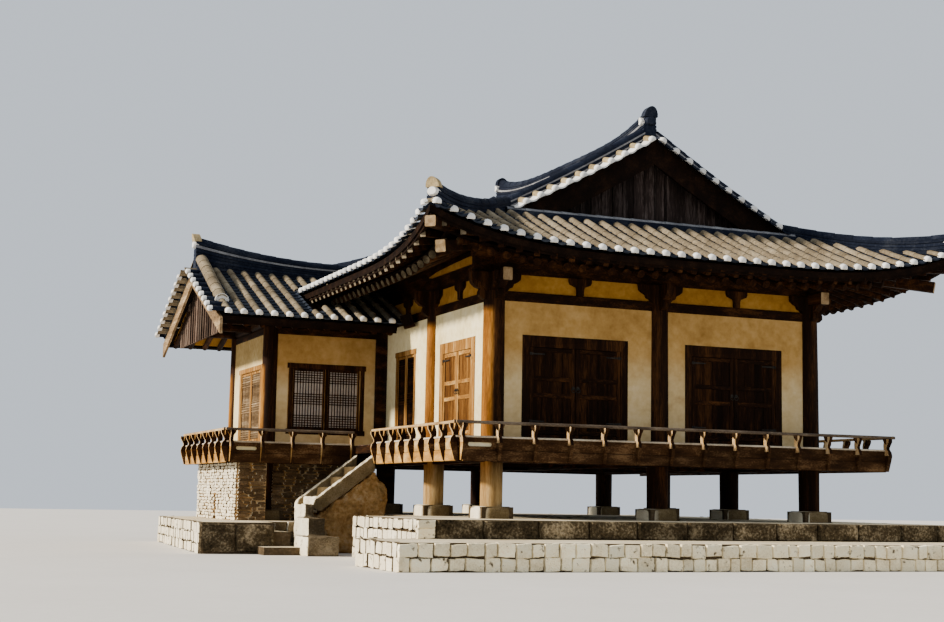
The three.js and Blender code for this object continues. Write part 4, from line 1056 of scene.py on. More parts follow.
def wing_rafters(rounds):
    for slope in WING_SLOPES:
        count = round((WING_ROOF_RIGHT - WING_VERGE - 0.3) / WING_RAFTER_PITCH)
        for k in range(count + 1):
            x = WING_VERGE + 0.16 + WING_RAFTER_PITCH * k
            t = x - WING_VERGE if slope.along[0] > 0 else -x
            tip, rest = slope.at(t, 0.15, -0.19), slope.at(t, WING_FRONT - WING_ROOF_FRONT, -0.275)
            log_between(rounds, tip, rest + (rest - tip) * 0.3, WING_RAFTER, 10, cap=1)


rounds, squares = Pile(), Pile()
main_rafters(rounds, squares)
hip_rafters(squares)
wing_rafters(rounds)
rounds.piece("round_rafters", [dark_wood, round_end], "timber", smooth=True)
squares.piece("square_rafters", [dark_wood, rafter_end, hip_end], "timber")

# %% [markdown]
# ## Gable boards
#
# Upright boards close each gable a little way in from the verge, and thin battens cover the joints.
# Each board is an extruded outline whose top follows the roof, so the slopes stay exact.

# %% Gables of upright boards
BOARD_WIDTH = 0.185
GABLE_INSET, GABLE_DROP = 0.31, 0.1


def upright_board(pile, low_points, tops, outward, thickness):
    """low_points and tops are the two lower corners and the heights of the upper ones."""
    (a, b), (top_a, top_b) = low_points, tops
    back = [a, b, Vector((b.x, b.y, top_b)), Vector((a.x, a.y, top_a))]
    pile.loft([back, [point + outward * thickness for point in back]])


def gable_of_boards(node, start, end, low, height, outward, material):
    """start and end are the ends of the gable's foot, and height gives the roof over a point."""
    pile = Pile()
    start, end, outward = Vector((*start, low)), Vector((*end, low)), Vector(outward)
    count = round((end - start).length / BOARD_WIDTH)
    chance = np.random.default_rng(5)
    for k in range(count):
        board, batten = ([start.lerp(end, (k + part) / count) for part in parts]
                         for parts in ((0, 0.97), (-0.09, 0.09)))
        shift = outward * chance.uniform(-0.006, 0.006)
        tops = [height(a.x, a.y) - GABLE_DROP for a in board]
        if max(tops) < low + 0.03:
            continue
        tops = [max(top, low + 0.01) for top in tops]
        upright_board(pile, [a + shift for a in board], tops, outward, 0.03)
        tops = [height(a.x, a.y) - GABLE_DROP for a in batten]
        if k and min(tops) > low + 0.05:
            upright_board(pile, batten, tops, outward, 0.048)
    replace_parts(pile.piece(node + "_boards", [material], "boards"), node)


GABLE_Y = VERGE_FRONT + GABLE_INSET
for node, y, way in (("front_gable", GABLE_Y, -1), ("back_gable", ROOF_FRONT + ROOF_BACK - GABLE_Y, 1)):
    foot = end_height(WIDTH / 2, y) - GABLE_DROP
    gable_of_boards(node, (0.7, y), (WIDTH - 0.7, y), foot, side_height, (0, way, 0), gable_boards)
gable_of_boards("wing_gable", (-3.13, 4.3), (-3.13, 7.7), 3.62, wing_height, (-1, 0, 0), grey_boards)

# %% [markdown]
# ## Working on a wall
#
# Doors, windows, brackets and railings are easiest to think of face on. So each wall gets a corner,
# a direction along it and a direction out of it, and it turns (along, out, height) into a point.
# The same door code then serves the front and the side.


# %% Walls as places to work
class Wall:
    """A wall seen face on, from a corner, with the directions along it and out of it."""

    def __init__(self, corner, along, outward):
        self.corner = Vector((*corner, 0))
        self.along = Vector((*along, 0))
        self.outward = Vector((*outward, 0))

    def at(self, along, out, height):
        return self.corner + self.along * along + self.outward * out + Vector((0, 0, height))


FRONT = Wall((0, 0), (1, 0), (0, -1))
RIGHT = Wall((WIDTH, 0), (0, 1), (1, 0))
BACK = Wall((WIDTH, DEPTH), (-1, 0), (0, 1))
LEFT = Wall((0, DEPTH), (0, -1), (-1, 0))
WING_FACE = Wall((-WING_BAY, WING_FRONT), (1, 0), (0, -1))
WING_SIDE = Wall((-WING_BAY, DEPTH), (0, -1), (-1, 0))
WING_REAR = Wall((0, DEPTH), (-1, 0), (0, 1))


def face_shape(pile, wall, outline, out0, out1, finish=0):
    """An outline drawn on the wall, as (along, height), given thickness outward."""
    pile.loft([[wall.at(u, out, z) for u, z in outline] for out in (out0, out1)], finish)


def side_shape(pile, wall, outline, along0, along1, finish=0):
    """An outline drawn in section, as (out, height), given width along the wall."""
    pile.loft([[wall.at(u, out, z) for out, z in outline] for u in (along0, along1)], finish)


def bar_along(pile, wall, u0, u1, out0, out1, z0, z1, finish=0, chamfer=0.006):
    """A squared bar that lies along a wall, its long edges chamfered."""
    side_shape(pile, wall, chamfered(out0, out1, z0, z1, chamfer), u0, u1, finish)


def bar_upright(pile, wall, u0, u1, out0, out1, z0, z1, finish=0, chamfer=0.006):
    section = chamfered(u0, u1, out0, out1, chamfer)
    pile.loft([[wall.at(u, out, z) for u, out in section] for z in (z0, z1)], finish)


def oblong(u0, u1, z0, z1):
    return [(u0, z0), (u1, z0), (u1, z1), (u0, z1)]


def both_ends(low, high, width):
    """The strips at the two ends of a stretch."""
    return (low, low + width), (high - width, high)


def mirrored(half, middle):
    """Half of an outline, drawn from a middle, and then the other half on its other side."""
    return [(middle + u, z) for u, z in half] + [(middle - u, z) for u, z in reversed(half)]


# %% [markdown]
# ## Posts, beams and brackets
#
# The posts are round and swell a little below the middle. Over each one the timbers that cross
# there end in carved arms: curved shoulders along the wall and a curled nose outward. Between the
# posts a small T-shaped block carries the purlin. Arms and blocks are flat outlines given
# thickness, which is also how they are sawn. The left sides, where the sun falls, are painted
# orange as sunlight, and under the eaves the wood is black.

# %% The timber frames
HEAD_LOW, HEAD_TOP, BAND_TOP = 3.85, 4.00, 4.26
WING_HEAD_LOW, WING_HEAD_TOP = 3.68, 3.80
POST_FOOT, WING_POST_FOOT = 0.79, 0.65
POST_RADIUS, WING_POST_RADIUS = 0.165, 0.135
POSTS_X, POSTS_Y = [0, FRONT_BAY, WIDTH], [0, SIDE_BAY, 2 * SIDE_BAY, DEPTH]
ARM = [(0.16, 3.98), (0.20, 4.03), (0.25, 4.05), (0.27, 4.10), (0.33, 4.13), (0.38, 4.17), (0.39, 4.26)]
NOSE = [(0.08, 3.84), (0.20, 3.86), (0.26, 3.91), (0.26, 3.97), (0.24, 4.01), (0.31, 4.03),
        (0.38, 4.09), (0.40, 4.17), (0.40, 4.26), (0.08, 4.26)]
BLOCK = [(0.055, 4.0), (0.055, 4.09), (0.07, 4.13), (0.12, 4.15), (0.17, 4.17), (0.19, 4.21), (0.19, 4.26)]


def post(pile, x, y, foot, top, radius, finish=0):
    rings = []
    for u, grow in ((0, 1.0), (0.02, 1.0), (0.3, 1.03), (0.6, 1.01), (1, 0.95)):
        z = foot + (top - foot) * u
        rings.append([(x + a * radius * grow, y + b * radius * grow, z) for a, b in circle(28)])
    pile.loft(rings, finish)


def timber_frame(side, wall, length, posts, own_posts, blocks):
    """Posts, brackets over every post of the wall, blocks between them, and the beam along their heads."""
    pile = Pile()
    for u in own_posts:
        spot = wall.at(u, 0, 0)
        # Posts on the left side behind the wing's front stand in the wing's shadow, so they take the beam
        # wood, without painted sunlight.
        in_wing_shadow = int(spot.x == 0 and spot.y > SIDE_BAY + 0.1)
        post(pile, spot.x, spot.y, POST_FOOT, BAND_TOP, POST_RADIUS, in_wing_shadow)
    for u in posts:
        face_shape(pile, wall, mirrored(ARM, u), 0.045, 0.115)
        side_shape(pile, wall, NOSE, u - 0.055, u + 0.055)
    for u in blocks:
        face_shape(pile, wall, mirrored(BLOCK, u), 0.045, 0.10)
    bar_along(pile, wall, 0.1, length - 0.1, -0.07, 0.075, HEAD_LOW, HEAD_TOP, 1, 0.012)
    made = pile.piece(side + "_timbers", [posts_wood, beams_wood], "timber", smooth=True)
    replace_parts(made, side + "_frame")


# Painted sunlight: orange on the sides that look left, below 3.72 m where the eaves' shadow ends, and a pale
# foot on the posts left of x 0.3, where the sun reaches below the floor.
posts_wood = wood("post wood", DARK_WOOD, GRAIN_Z, 0.2, bleached=(SUN_WOOD, 3.72, 0.3),
                  foot=(((0.14, 0.075, 0.02), (0.38, 0.24, 0.09), (0.62, 0.46, 0.23)), 1.5, 0.3))
beams_wood = wood("beam wood", DARK_WOOD, GRAIN_LEVEL, 0.2)
middles = [SIDE_BAY * (k + 0.5) for k in range(3)]
for side, wall in (("front", FRONT), ("back", BACK)):
    timber_frame(side, wall, WIDTH, POSTS_X, POSTS_X, [FRONT_BAY / 2, 1.5 * FRONT_BAY])
timber_frame("left", LEFT, DEPTH, POSTS_Y[1:], POSTS_Y[1:3], middles[1:])
timber_frame("right", RIGHT, DEPTH, POSTS_Y, POSTS_Y[1:3], middles)

# %% [markdown]
# ## The wing's frame and the plaster over the beams
#
# The wing has thinner posts and a lower beam. At the front corners of the main house the ends of
# two beams stick out, sawn and pale. Earth plaster fills the gaps between the rafters. Bars are
# enough for most of it, and only the plaster under the wing's rear eave follows a slope.

# %% The wing's frame, beam ends and the plaster between the rafters
# Painted sunlight: orange only below 3.1 m, under the wing's eave shadow, and only on faces turned well to
# the left.
wing_posts_wood = wood("wing post wood", DARK_WOOD, GRAIN_Z, 0.2, bleached=(SUN_WOOD, 3.1, 0.3, 0.7))


def wing_timbers():
    pile = Pile()
    for y in (WING_FRONT, DEPTH):
        post(pile, -WING_BAY, y, WING_POST_FOOT, WING_HEAD_TOP, WING_POST_RADIUS)
    for wall, length in ((WING_FACE, WING_BAY), (WING_SIDE, DEPTH - WING_FRONT), (WING_REAR, WING_BAY)):
        bar_along(pile, wall, 0.05, length - 0.1, -0.07, 0.075, WING_HEAD_LOW, WING_HEAD_TOP, 1, 0.012)
    bar_upright(pile, WING_FACE, WING_BAY - 0.27, WING_BAY - 0.1, 0.0, 0.12, 1.765, WING_HEAD_LOW, 1, 0.02)
    made = pile.piece("wing_timbers", [wing_posts_wood, beams_wood], "timber", smooth=True)
    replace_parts(made, "wing_frame")


def beam_ends():
    pile = Pile()
    for x in (0, WIDTH):
        beam_between(pile, (x, -0.50, 4.195), (x, -0.12, 4.195), 0.15, 0.19, cap=1)
    pile.piece("beam_ends", [dark_wood, hip_end], "timber")


def rafter_plaster():
    """Plaster over the purlins, swelling at the corners, and under the wing's rear eave."""
    pile = Pile()
    for wall, length in ((FRONT, WIDTH), (BACK, WIDTH), (LEFT, DEPTH), (RIGHT, DEPTH)):
        middle = wall.at(length / 2, 0, 0)
        boards = main_height(middle.x, middle.y) - BOARD_DROP - BOARD_THICK
        bar_along(pile, wall, -0.1, length + 0.1, -0.04, 0.04, 4.68, min(4.98, boards - 0.01))
    rear = rectangle(0.25, -WING_VERGE - 0.12, 0.14, WING_ROOF_BACK - DEPTH)
    slope_layer(pile, WING_SLOPES[1], rear, 0.118, 0.02)
    for wall, start, way in ((LEFT, DEPTH, -1), (RIGHT, 0, 1)):
        rings = []
        for k in range(9):
            u = start + way * (0.12 + 2.3 * k / 8)
            high = 4.50 + 0.115 * math.sqrt(1 - k / 8)
            section = [(0.09, 4.49), (0.142, 4.49), (0.142, high), (0.09, high + 0.002)]
            rings.append([wall.at(u, out, z) for out, z in section])
        pile.loft(rings)
    pile.piece("rafter_plaster", [deep_ochre], "plaster")


wing_timbers()
beam_ends()
rafter_plaster()

# %% [markdown]
# ## Doors
#
# Each leaf is a frame of stiles and four rails round three panels of upright boards, hung on pin
# hinges, with an iron ring near the meeting edge. Every bar and board is a loft of its own, since
# seams in a flat sheet would catch no light. A leaf is one piece that rides on its own body, so
# that it swings with the joint.

# %% Board leaves
LEAF_OUT, LEAF_IN = 0.070, 0.025
LEAF_BOTTOM = 1.876
STILE = 0.065
LEAF_BOARDS = 4
RAILS = [2.46, 2.71]
RING_Z = 2.585
HINGES = [2.01, 3.02]
HINGE_OUT = 0.082


def ring_handle(pile, wall, u, z, finish):
    """An iron plate with a drop ring."""
    face_shape(pile, wall, [(u + 0.028 * a, z + 0.028 * b) for a, b in circle(12)],
               LEAF_OUT, LEAF_OUT + 0.004, finish)
    rings = []
    for a, b in circle(16):
        middle = wall.at(u + 0.034 * a, LEAF_OUT + 0.012, z - 0.03 + 0.034 * b)
        spoke = wall.along * a + Vector((0, 0, b))
        rings.append([middle + spoke * (0.005 * c) + wall.outward * (0.005 * d) for c, d in circle(6)])
    pile.loft(rings + rings[:1], finish, caps=(False, False))


def door_leaf(name, wall, u0, width, top, hinge_first):
    pile = Pile()
    u1 = u0 + width
    for a, b in both_ends(u0, u1, STILE):
        bar_upright(pile, wall, a, b, LEAF_IN, LEAF_OUT, LEAF_BOTTOM, top)
    for z in [LEAF_BOTTOM + STILE / 2] + RAILS + [top - STILE / 2]:
        low, high = z - STILE / 2, z + STILE / 2
        bar_along(pile, wall, u0 + STILE, u1 - STILE, LEAF_IN, LEAF_OUT - 0.002, low, high, 1)
    for k in range(LEAF_BOARDS):
        a, b = (u0 + 0.03 + (width - 0.06) * (k + part) / LEAF_BOARDS for part in (0.01, 0.99))
        face = 0.054 + 0.002 * (k % 2)
        bar_upright(pile, wall, a, b, 0.038, face, LEAF_BOTTOM + 0.03, top - 0.03, 2, 0.003)
    ring_handle(pile, wall, u1 - STILE / 2 if hinge_first else u0 + STILE / 2, RING_Z, 3)
    pin, reach = (u0 - 0.003, 0.05) if hinge_first else (u1 + 0.003, -0.05)
    for z in HINGES:
        eye = wall.at(pin, HINGE_OUT, z + 0.0405)
        log_between(pile, eye, eye + Vector((0, 0, 0.04)), 0.006, 10, finish=3)
        plate = oblong(pin, pin + reach, z + 0.041, z + 0.080)
        face_shape(pile, wall, plate, LEAF_OUT - 0.001, HINGE_OUT - 0.003, 3)
        near, far = pin + reach * 0.2, pin + reach * 5
        strap = [(near, z + 0.047), (far, z + 0.052), (far, z + 0.068), (near, z + 0.074)]
        face_shape(pile, wall, strap, LEAF_OUT - 0.001, LEAF_OUT + 0.004, 3)
    materials = [stile_wood, leaf_rail_wood, panel_wood, iron]
    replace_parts(pile.piece(name + "_boards", materials, "boards", body=name), name)


# Painted sunlight: door and window parts left of x 0.1 turn orange where they look left; the panels stay
# darker.
LEAF_SUN = (((0.05, 0.018, 0.003), (0.25, 0.112, 0.024), (0.56, 0.35, 0.13)), 4.5, 0.1)
PANEL_SUN = (((0.010, 0.003, 0.001), (0.09, 0.034, 0.006), (0.30, 0.14, 0.032)), 4.5, 0.1)
leaf_rail_wood = wood("leaf wood y", DARK_WOOD, (0.4, 0.4, 1.6), rough=0.75, bleached=LEAF_SUN)
stile_wood = wood("leaf wood z", DARK_WOOD, GRAIN_Z, rough=0.75, bleached=LEAF_SUN)
panel_wood = wood("panel wood", DARK_WOOD, GRAIN_Z, 0.35, 0.8, bleached=PANEL_SUN)
for door, wall, start, width, jamb, top in (("front_door_1", FRONT, 0.44, 1.78, 0.12, 3.179),
                                            ("front_door_2", FRONT, 3.23, 1.78, 0.12, 3.179),
                                            ("side_door", LEFT, DEPTH - 2.04, 1.5, 0.15, 3.189)):
    leaf = (width - 2 * jamb - 0.022) / 2
    door_leaf(door + "_left_leaf", wall, start + jamb + 0.006, leaf, top, True)
    door_leaf(door + "_right_leaf", wall, start + jamb + 0.016 + leaf, leaf, top, False)

# %% [markdown]
# ## Lattice windows
#
# Thin upright bars fill each sash. Short level bars cross them in three bands, at the top, the
# middle and the bottom, and white paper is pasted behind. The bars are a repeated pair of lofts, so
# the pattern is only a pitch and three heights.

# %% Windows with bars and paper
BAR = 0.014
BAR_PITCH = 0.052
SASH_SIDE = 0.035


def lattice(pile, wall, u0, u1, z0, z1):
    """The bars of one sash, inside its own thin frame. The bars take the third finish."""
    for a, b in both_ends(u0, u1, SASH_SIDE):
        bar_upright(pile, wall, a, b, 0.018, 0.062, z0, z1, 0, 0.003)
    for a, b in both_ends(z0, z1, 0.04):
        bar_along(pile, wall, u0, u1, 0.018, 0.060, a, b, 0, 0.003)
    clear = u1 - u0 - 2 * SASH_SIDE
    count = round(clear / BAR_PITCH)
    for k in range(1, count):
        u = u0 + SASH_SIDE + clear * k / count
        bar_upright(pile, wall, u - BAR / 2, u + BAR / 2, 0.034, 0.054, z0, z1, 2, 0.002)
    for middle in (z0 + 0.15, (z0 + z1) / 2, z1 - 0.15):
        for k in range(-2, 3):
            z = middle + 0.042 * k
            bar_along(pile, wall, u0 + 0.02, u1 - 0.02, 0.036, 0.056, z - BAR / 2, z + BAR / 2, 2, 0.002)


# %% Whole windows
def lattice_window(whose, wall, u0, u1, z0, z1, jamb, bars):
    """Jambs, head and sill, a middle post, two sashes, and paper behind them."""
    pile = Pile()
    for a, b in both_ends(u0, u1, jamb):
        bar_upright(pile, wall, a, b, -0.075, 0.08, z0, z1, 0, 0.01)
    for a, b in both_ends(z0, z1, 0.09):
        bar_along(pile, wall, u0 - 0.02, u1 + 0.02, -0.075, 0.086, a, b, 0, 0.01)
    left, middle, right = u0 + jamb, (u0 + u1) / 2, u1 - jamb
    bar_upright(pile, wall, middle - 0.03, middle + 0.03, -0.02, 0.07, z0 + 0.09, z1 - 0.09)
    lattice(pile, wall, left + 0.003, middle - 0.03, z0 + 0.092, z1 - 0.092)
    lattice(pile, wall, middle + 0.03, right - 0.003, z0 + 0.092, z1 - 0.092)
    face_shape(pile, wall, oblong(left - 0.005, right + 0.005, z0 + 0.085, z1 - 0.085), 0.022, 0.032, 1)
    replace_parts(pile.piece(whose + "_lattice", [stile_wood, paper, bars], "timber"), whose + "_window")


lattice_window("side", LEFT, DEPTH - 4.17, DEPTH - 3.17, 1.75, 3.40, 0.08, dark_wood)
lattice_window("wing_front", WING_FACE, 0.314, 1.704, 1.96, 3.19, 0.09, dark_wood)
lattice_window("wing_side", WING_SIDE, DEPTH - 6.67, DEPTH - 5.03, 1.75, 3.17, 0.11, edge_wood)

# %% [markdown]
# ## Railings
#
# A board closes the edge of the floor. Balusters stand on it, cut in profile: slim at the foot,
# swelling to the floor's edge, then a neck and a curl outward under the rail. A small leaf of wood
# spreads along the rail over each one. In the two runs that face the front, the first board has a
# long air hole with round ends.

# %% Railings
APRON_LOW, APRON_TOP, RAIL_Z = 1.43, 1.78, 1.975
HOLE_Z, HOLE_RADIUS = 1.665, 0.028
BALUSTER_FOOT = [(-0.012, 1.44), (0.024, 1.44), (0.048, 1.52), (0.078, 1.62), (0.094, 1.69), (-0.012, 1.69)]
BALUSTER = [(-0.012, 1.69), (0.094, 1.69), (0.080, 1.75), (0.046, 1.79), (0.046, 1.82), (0.074, 1.87),
            (0.096, 1.91), (0.098, 1.955), (-0.010, 1.955), (-0.030, 1.90), (-0.040, 1.85), (-0.034, 1.79)]
RAIL_LEAF = [(0.022, 1.865), (0.040, 1.885), (0.062, 1.910), (0.074, 1.938), (0.076, 1.955)]


def holed_board(pile, wall, u0, u1, z0, z1, out0, out1):
    """A board with a long hole that has round ends."""
    middle, half = (u0 + u1) / 2, (u1 - u0) * 0.3
    hole, edge = [], []
    for a, b in circle(24, math.pi / 24):
        hole.append((middle + HOLE_RADIUS * a + (half if a > 0 else -half), HOLE_Z + HOLE_RADIUS * b))
        scale = 1 / max(abs(a), abs(b))
        square_z = z1 if b > 0 else z0
        edge.append((middle + (u1 - u0) / 2 * a * scale, HOLE_Z + (square_z - HOLE_Z) * abs(b) * scale))
    rings = [[wall.at(u, out, z) for u, z in outline]
             for outline, out in ((edge, out0), (edge, out1), (hole, out1), (hole, out0))]
    pile.loft(rings + rings[:1], caps=(False, False))


def railing(whose, wall, length, pitch, rail_past=(0.12, 0.12), thick=0.05, air_hole=False, landing=None):
    """The wall is the outer face of the boards. landing is a stretch of board beyond the rail."""
    pile = Pile()
    name = whose + "_rail"
    count = max(2, round((length - 0.05) / pitch))
    step = (length - 0.05) / count
    for k in range(count):
        a, b = step * k + 0.04, step * (k + 1) + 0.01
        if air_hole and k == 0:
            holed_board(pile, wall, a, b, APRON_LOW + 0.16, APRON_TOP - 0.02, -0.035, -0.006)
            face_shape(pile, wall, oblong(a + 0.05, b - 0.05, 1.62, 1.71), -0.05, -0.036, 4)
        else:
            bar_along(pile, wall, a, b, -0.035, -0.006, APRON_LOW + 0.16, APRON_TOP - 0.02, 0, 0.004)
        bar_along(pile, wall, a, b, -0.037, 0.002, APRON_LOW, APRON_LOW + 0.157, 1, 0.008)
    # The strip along the floor's edge takes finish 6, the painted highlight.
    bar_along(pile, wall, 0, length, -0.04, 0.006, APRON_TOP - 0.02, APRON_TOP + 0.006, 6, 0.005)
    for k in range(count + 1):
        u = step * k
        side_shape(pile, wall, BALUSTER_FOOT, u, u + thick, 1)
        side_shape(pile, wall, BALUSTER, u, u + thick, 3)
        face_shape(pile, wall, mirrored(RAIL_LEAF, u + thick / 2), 0.012, 0.040, 1)
    if landing:
        bar_along(pile, wall, *landing, -0.038, 0.0, 1.62, 1.75, 5)
    ends = [wall.at(u, 0.025, RAIL_Z) for u in (-rail_past[0], length + rail_past[1])]
    log_between(pile, *ends, 0.024, 12, finish=2, rings=9, wobble=0.12, seed=len(name))
    materials = [apron_wood, rail_wood, rail_top_wood, baluster_wood, pale_plaster, dark_wood, edge_highlight]
    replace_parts(pile.piece(name, materials, "timber", smooth=True), whose + "_railing")


# %% Railing woods and all the runs
# Painted sunlight: the rails and aprons of the left runs, and every baluster and rail top, turn pale where
# they look left.
RAIL_WOOD = ((0.007, 0.0026, 0.0008), (0.032, 0.0140, 0.0045), (0.16, 0.088, 0.038))
RAIL_SUN = (((0.10, 0.04, 0.006), (0.36, 0.18, 0.042), (0.62, 0.42, 0.17)), 4.5, -0.8)
BALUSTER_SUN = (((0.18, 0.09, 0.03), (0.42, 0.27, 0.12), (0.66, 0.52, 0.32)), 4.5, EVERYWHERE)
rail_wood = wood("railing wood", RAIL_WOOD, GRAIN_LEVEL, rough=0.75, bleached=RAIL_SUN)
apron_wood = wood("apron wood", RAIL_WOOD, GRAIN_LEVEL, rough=0.8, bleached=(PALE_WOOD, 4.5, -0.8))
baluster_wood = wood("baluster wood", DARK_WOOD, (1.2, 1.2, 0.6), 0.25, 0.75, bleached=BALUSTER_SUN)
# Painted highlight: a pale strip along the floor's edge, as where the sun catches it.
edge_highlight = wood("floor edge wood", ((0.16, 0.12, 0.08), (0.38, 0.32, 0.24), (0.58, 0.52, 0.42)),
                  GRAIN_LEVEL, 0.2, 0.8, 0.3, 0.01)
rail_top_wood = wood("rail wood", ((0.03, 0.02, 0.014), (0.085, 0.062, 0.044), (0.20, 0.155, 0.11)),
                     GRAIN_LEVEL, 0.1, 0.8, 0.4, 0.006, bleached=BALUSTER_SUN)
EDGE = 0.90
railing("front", Wall((-0.86, -EDGE), (1, 0), (0, -1)), 7.28, 0.54, air_hole=True)
railing("right", Wall((WIDTH + EDGE, -0.848), (0, 1), (1, 0)), 8.148, 0.54)
railing("left", Wall((-EDGE, 2.70), (0, -1), (-1, 0)), 3.55, 0.43, (0.10, 0.12), 0.034,
        landing=(-1.24, -0.01))
railing("wing_front", Wall((-3.024, 3.90), (1, 0), (0, -1)), 2.124, 0.54, (0.12, 0.0), air_hole=True)
railing("wing_left", Wall((-3.064, 7.3), (0, -1), (-1, 0)), 3.388, 0.48, (0.0, 0.12), 0.034)

# %% [markdown]
# ## Rubble, blocks and worn stone
#
# The platform is a core of earth faced with stones. Each stone is a squarish outline that bulges
# out of the wall, laid in uneven courses, because a pattern on a flat wall would have no edge in
# the light. A whole block is remeshed finely instead, and pushed in and out by a cloud pattern.


# %% Stones in a wall
def lay_stone(pile, wall, u0, u1, z0, z1, out, chance, rugged, sides):
    """One stone: an outline that is nearly square, or more uneven when rugged, and swells outward."""
    middle_u, middle_z = (u0 + u1) / 2, (z0 + z1) / 2
    half_u, half_z = (u1 - u0) / 2, (z1 - z0) / 2
    uneven = chance.uniform(1 - 0.14 * rugged, 1 + 0.05 * rugged, sides)
    tilt = chance.uniform(-0.2, 0.2) * rugged
    rings = []
    for scale, depth in ((1.0, -0.04), (1.0, out * 0.45), (0.93, out * 0.9), (0.55, out)):
        ring = []
        for (a, b), bend in zip(circle(sides), uneven):
            reach = scale * bend / max(abs(a), abs(b)) ** 0.93
            height = middle_z + half_z * (b + tilt * a) * reach
            ring.append(wall.at(middle_u + half_u * a * reach, depth, max(0.003, height)))
        rings.append(ring)
    pile.loft(rings, caps=(False, True))


def lay_wall(pile, wall, length, z0, z1, seed, width, height, out, rugged, sides):
    """Uneven courses of stones between two heights."""
    chance = np.random.default_rng(seed)
    courses = max(1, round((z1 - z0) / height))
    for course in range(courses):
        low, high = (z0 + (z1 - z0) * (course + part) / courses for part in (0.01, 0.99))
        u = 0
        while u < length - 0.02:
            wide = min(width * chance.uniform(1 - 0.5 * rugged, 1 + 0.5 * rugged), length - u)
            if length - u - wide < 0.4 * width:
                wide = length - u
            shift = height * chance.uniform(-0.16, 0.16, 2) * rugged
            lay_stone(pile, wall, u + 0.004, u + wide - 0.004, low + shift[0], min(high + shift[1], z1),
                      out * chance.uniform(1 - 0.5 * rugged, 1.15), chance, rugged, sides)
            u += wide


def face_with_stones(name, material, size, runs, rugged, sides=12):
    """runs are (start, end, low, high), with the outside on the right as one walks from start.
    size is the width and height of a stone, and how far it stands out."""
    pile = Pile()
    for seed, (start, end, low, high) in enumerate(runs, 3):
        along = Vector(end) - Vector(start)
        length = along.length
        along = along / length
        wall = Wall(start, along, (along.y, -along.x))
        lay_wall(pile, wall, length, low, high, seed, *size, rugged, sides)
    pile.piece(name, [material], "stone", smooth=True)


# %% Wear on a whole block
def worn_stone(node, name, materials, voxel, depth, cloud, height_at=None, change_at=9.0):
    """A finely remeshed copy of a block, pushed in and out by clouds. height_at may wear it down, and
    faces above change_at take the last material."""
    rough = add_object(name, bpy.data.objects[node].data.copy())
    if height_at:
        for vertex in rough.data.vertices:
            vertex.co.z = height_at(vertex.co.z)
    remesh = rough.modifiers.new("remesh", "REMESH")
    remesh.mode = "VOXEL"
    remesh.voxel_size = voxel
    clouds = bpy.data.textures.new(name, "CLOUDS")
    clouds.noise_scale = cloud
    clouds.noise_depth = 3
    push = rough.modifiers.new("push", "DISPLACE")
    push.texture = clouds
    push.strength = depth
    push.mid_level = 0.55
    seen = rough.evaluated_get(bpy.context.evaluated_depsgraph_get())
    mesh = bpy.data.meshes.new_from_object(seen)
    for vertex in mesh.vertices:
        vertex.co.z = max(0.002, vertex.co.z)
    rough.modifiers.clear()
    rough.data = mesh
    mesh.materials.clear()
    for material in materials:
        mesh.materials.append(material)
    high = [len(materials) - 1 if face.center.z > change_at else 0 for face in mesh.polygons]
    mesh.polygons.foreach_set("material_index", high)
    mesh.shade_smooth()
    mesh.set_sharp_from_angle(angle=SHARP_EDGE)
    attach(rough, "house")
    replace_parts(rough, node)
    print(f"{name}: {sum(len(face.vertices) - 2 for face in mesh.polygons)} triangles")


# %% [markdown]
# ## Facing the platform
#
# The low step in front is rubble painted pale as if sunlit, with a course of long dark blocks
# behind and above it, and the wing stands on thin flat stones. A run of wall is two points on the
# ground and two heights, so one function lays all three kinds, and only the size and the roughness
# of a stone differ.

# %% Facing the platform
STEP_TOP, PLINTH_TOP, WING_PLINTH_TOP, MASONRY_TOP = 0.36, 0.62, 0.48, 1.44
RUBBLE = (0.21, 0.17, 0.05)
PITS = ((0.10, 0.07, 0.04), 11.0, 0.60, 0.68)
block_stone = stone("block stone", ((0.008, 0.006, 0.003), (0.065, 0.047, 0.025), (0.33, 0.26, 0.16)),
                    0.35, 0.9, 0.03, 8.0, 3.5)
facing = stone("facing stone", ((0.024, 0.017, 0.009), (0.085, 0.062, 0.034), (0.24, 0.19, 0.12)),
               0.35, bleached=IN_THE_SUN, stain=PITS)
# Painted sunlight: the front rubble is very pale, as if lit by the sun, though it faces the shaded front.
sunlit_painted_facing = stone("pale stone", ((0.60, 0.48, 0.28), (0.92, 0.80, 0.53), (0.98, 0.92, 0.70)),
                    0.2, stain=PITS)
masonry_stone = stone("thin stone", ((0.035, 0.02, 0.010), (0.11, 0.07, 0.036), (0.22, 0.155, 0.09)),
                      0.4, 0.8, 0.015, 16.0, 2.5, bleached=IN_THE_SUN)
face_with_stones("plinth_rubble", facing, RUBBLE, [
    ((-1.66, 1.3), (-1.66, -1.5), 0, PLINTH_TOP), ((7.22, -1.5), (7.22, 8.2), 0, PLINTH_TOP),
    ((7.22, 8.2), (-0.6, 8.2), 0, PLINTH_TOP), ((-2.5, -1.45), (-2.5, -3.1), 0, STEP_TOP),
    ((7.22, -3.1), (7.22, -1.5), 0, STEP_TOP), ((-0.6, 1.3), (-1.66, 1.3), 0, PLINTH_TOP),
    ((-1.66, -1.45), (-2.5, -1.45), 0, STEP_TOP)], 0.6, 16)
face_with_stones("plinth_front_rubble", sunlit_painted_facing, RUBBLE, [
    ((-2.54, -3.1), (7.22, -3.1), 0, STEP_TOP),
    ((-1.71, -1.5), (-1.44, -1.5), STEP_TOP, PLINTH_TOP)], 0.6, 16)
face_with_stones("plinth_blocks", block_stone, (0.75, 0.26, 0.06), [
    ((-1.44, -1.5), (7.22, -1.5), STEP_TOP, PLINTH_TOP)], 0.2, 16)
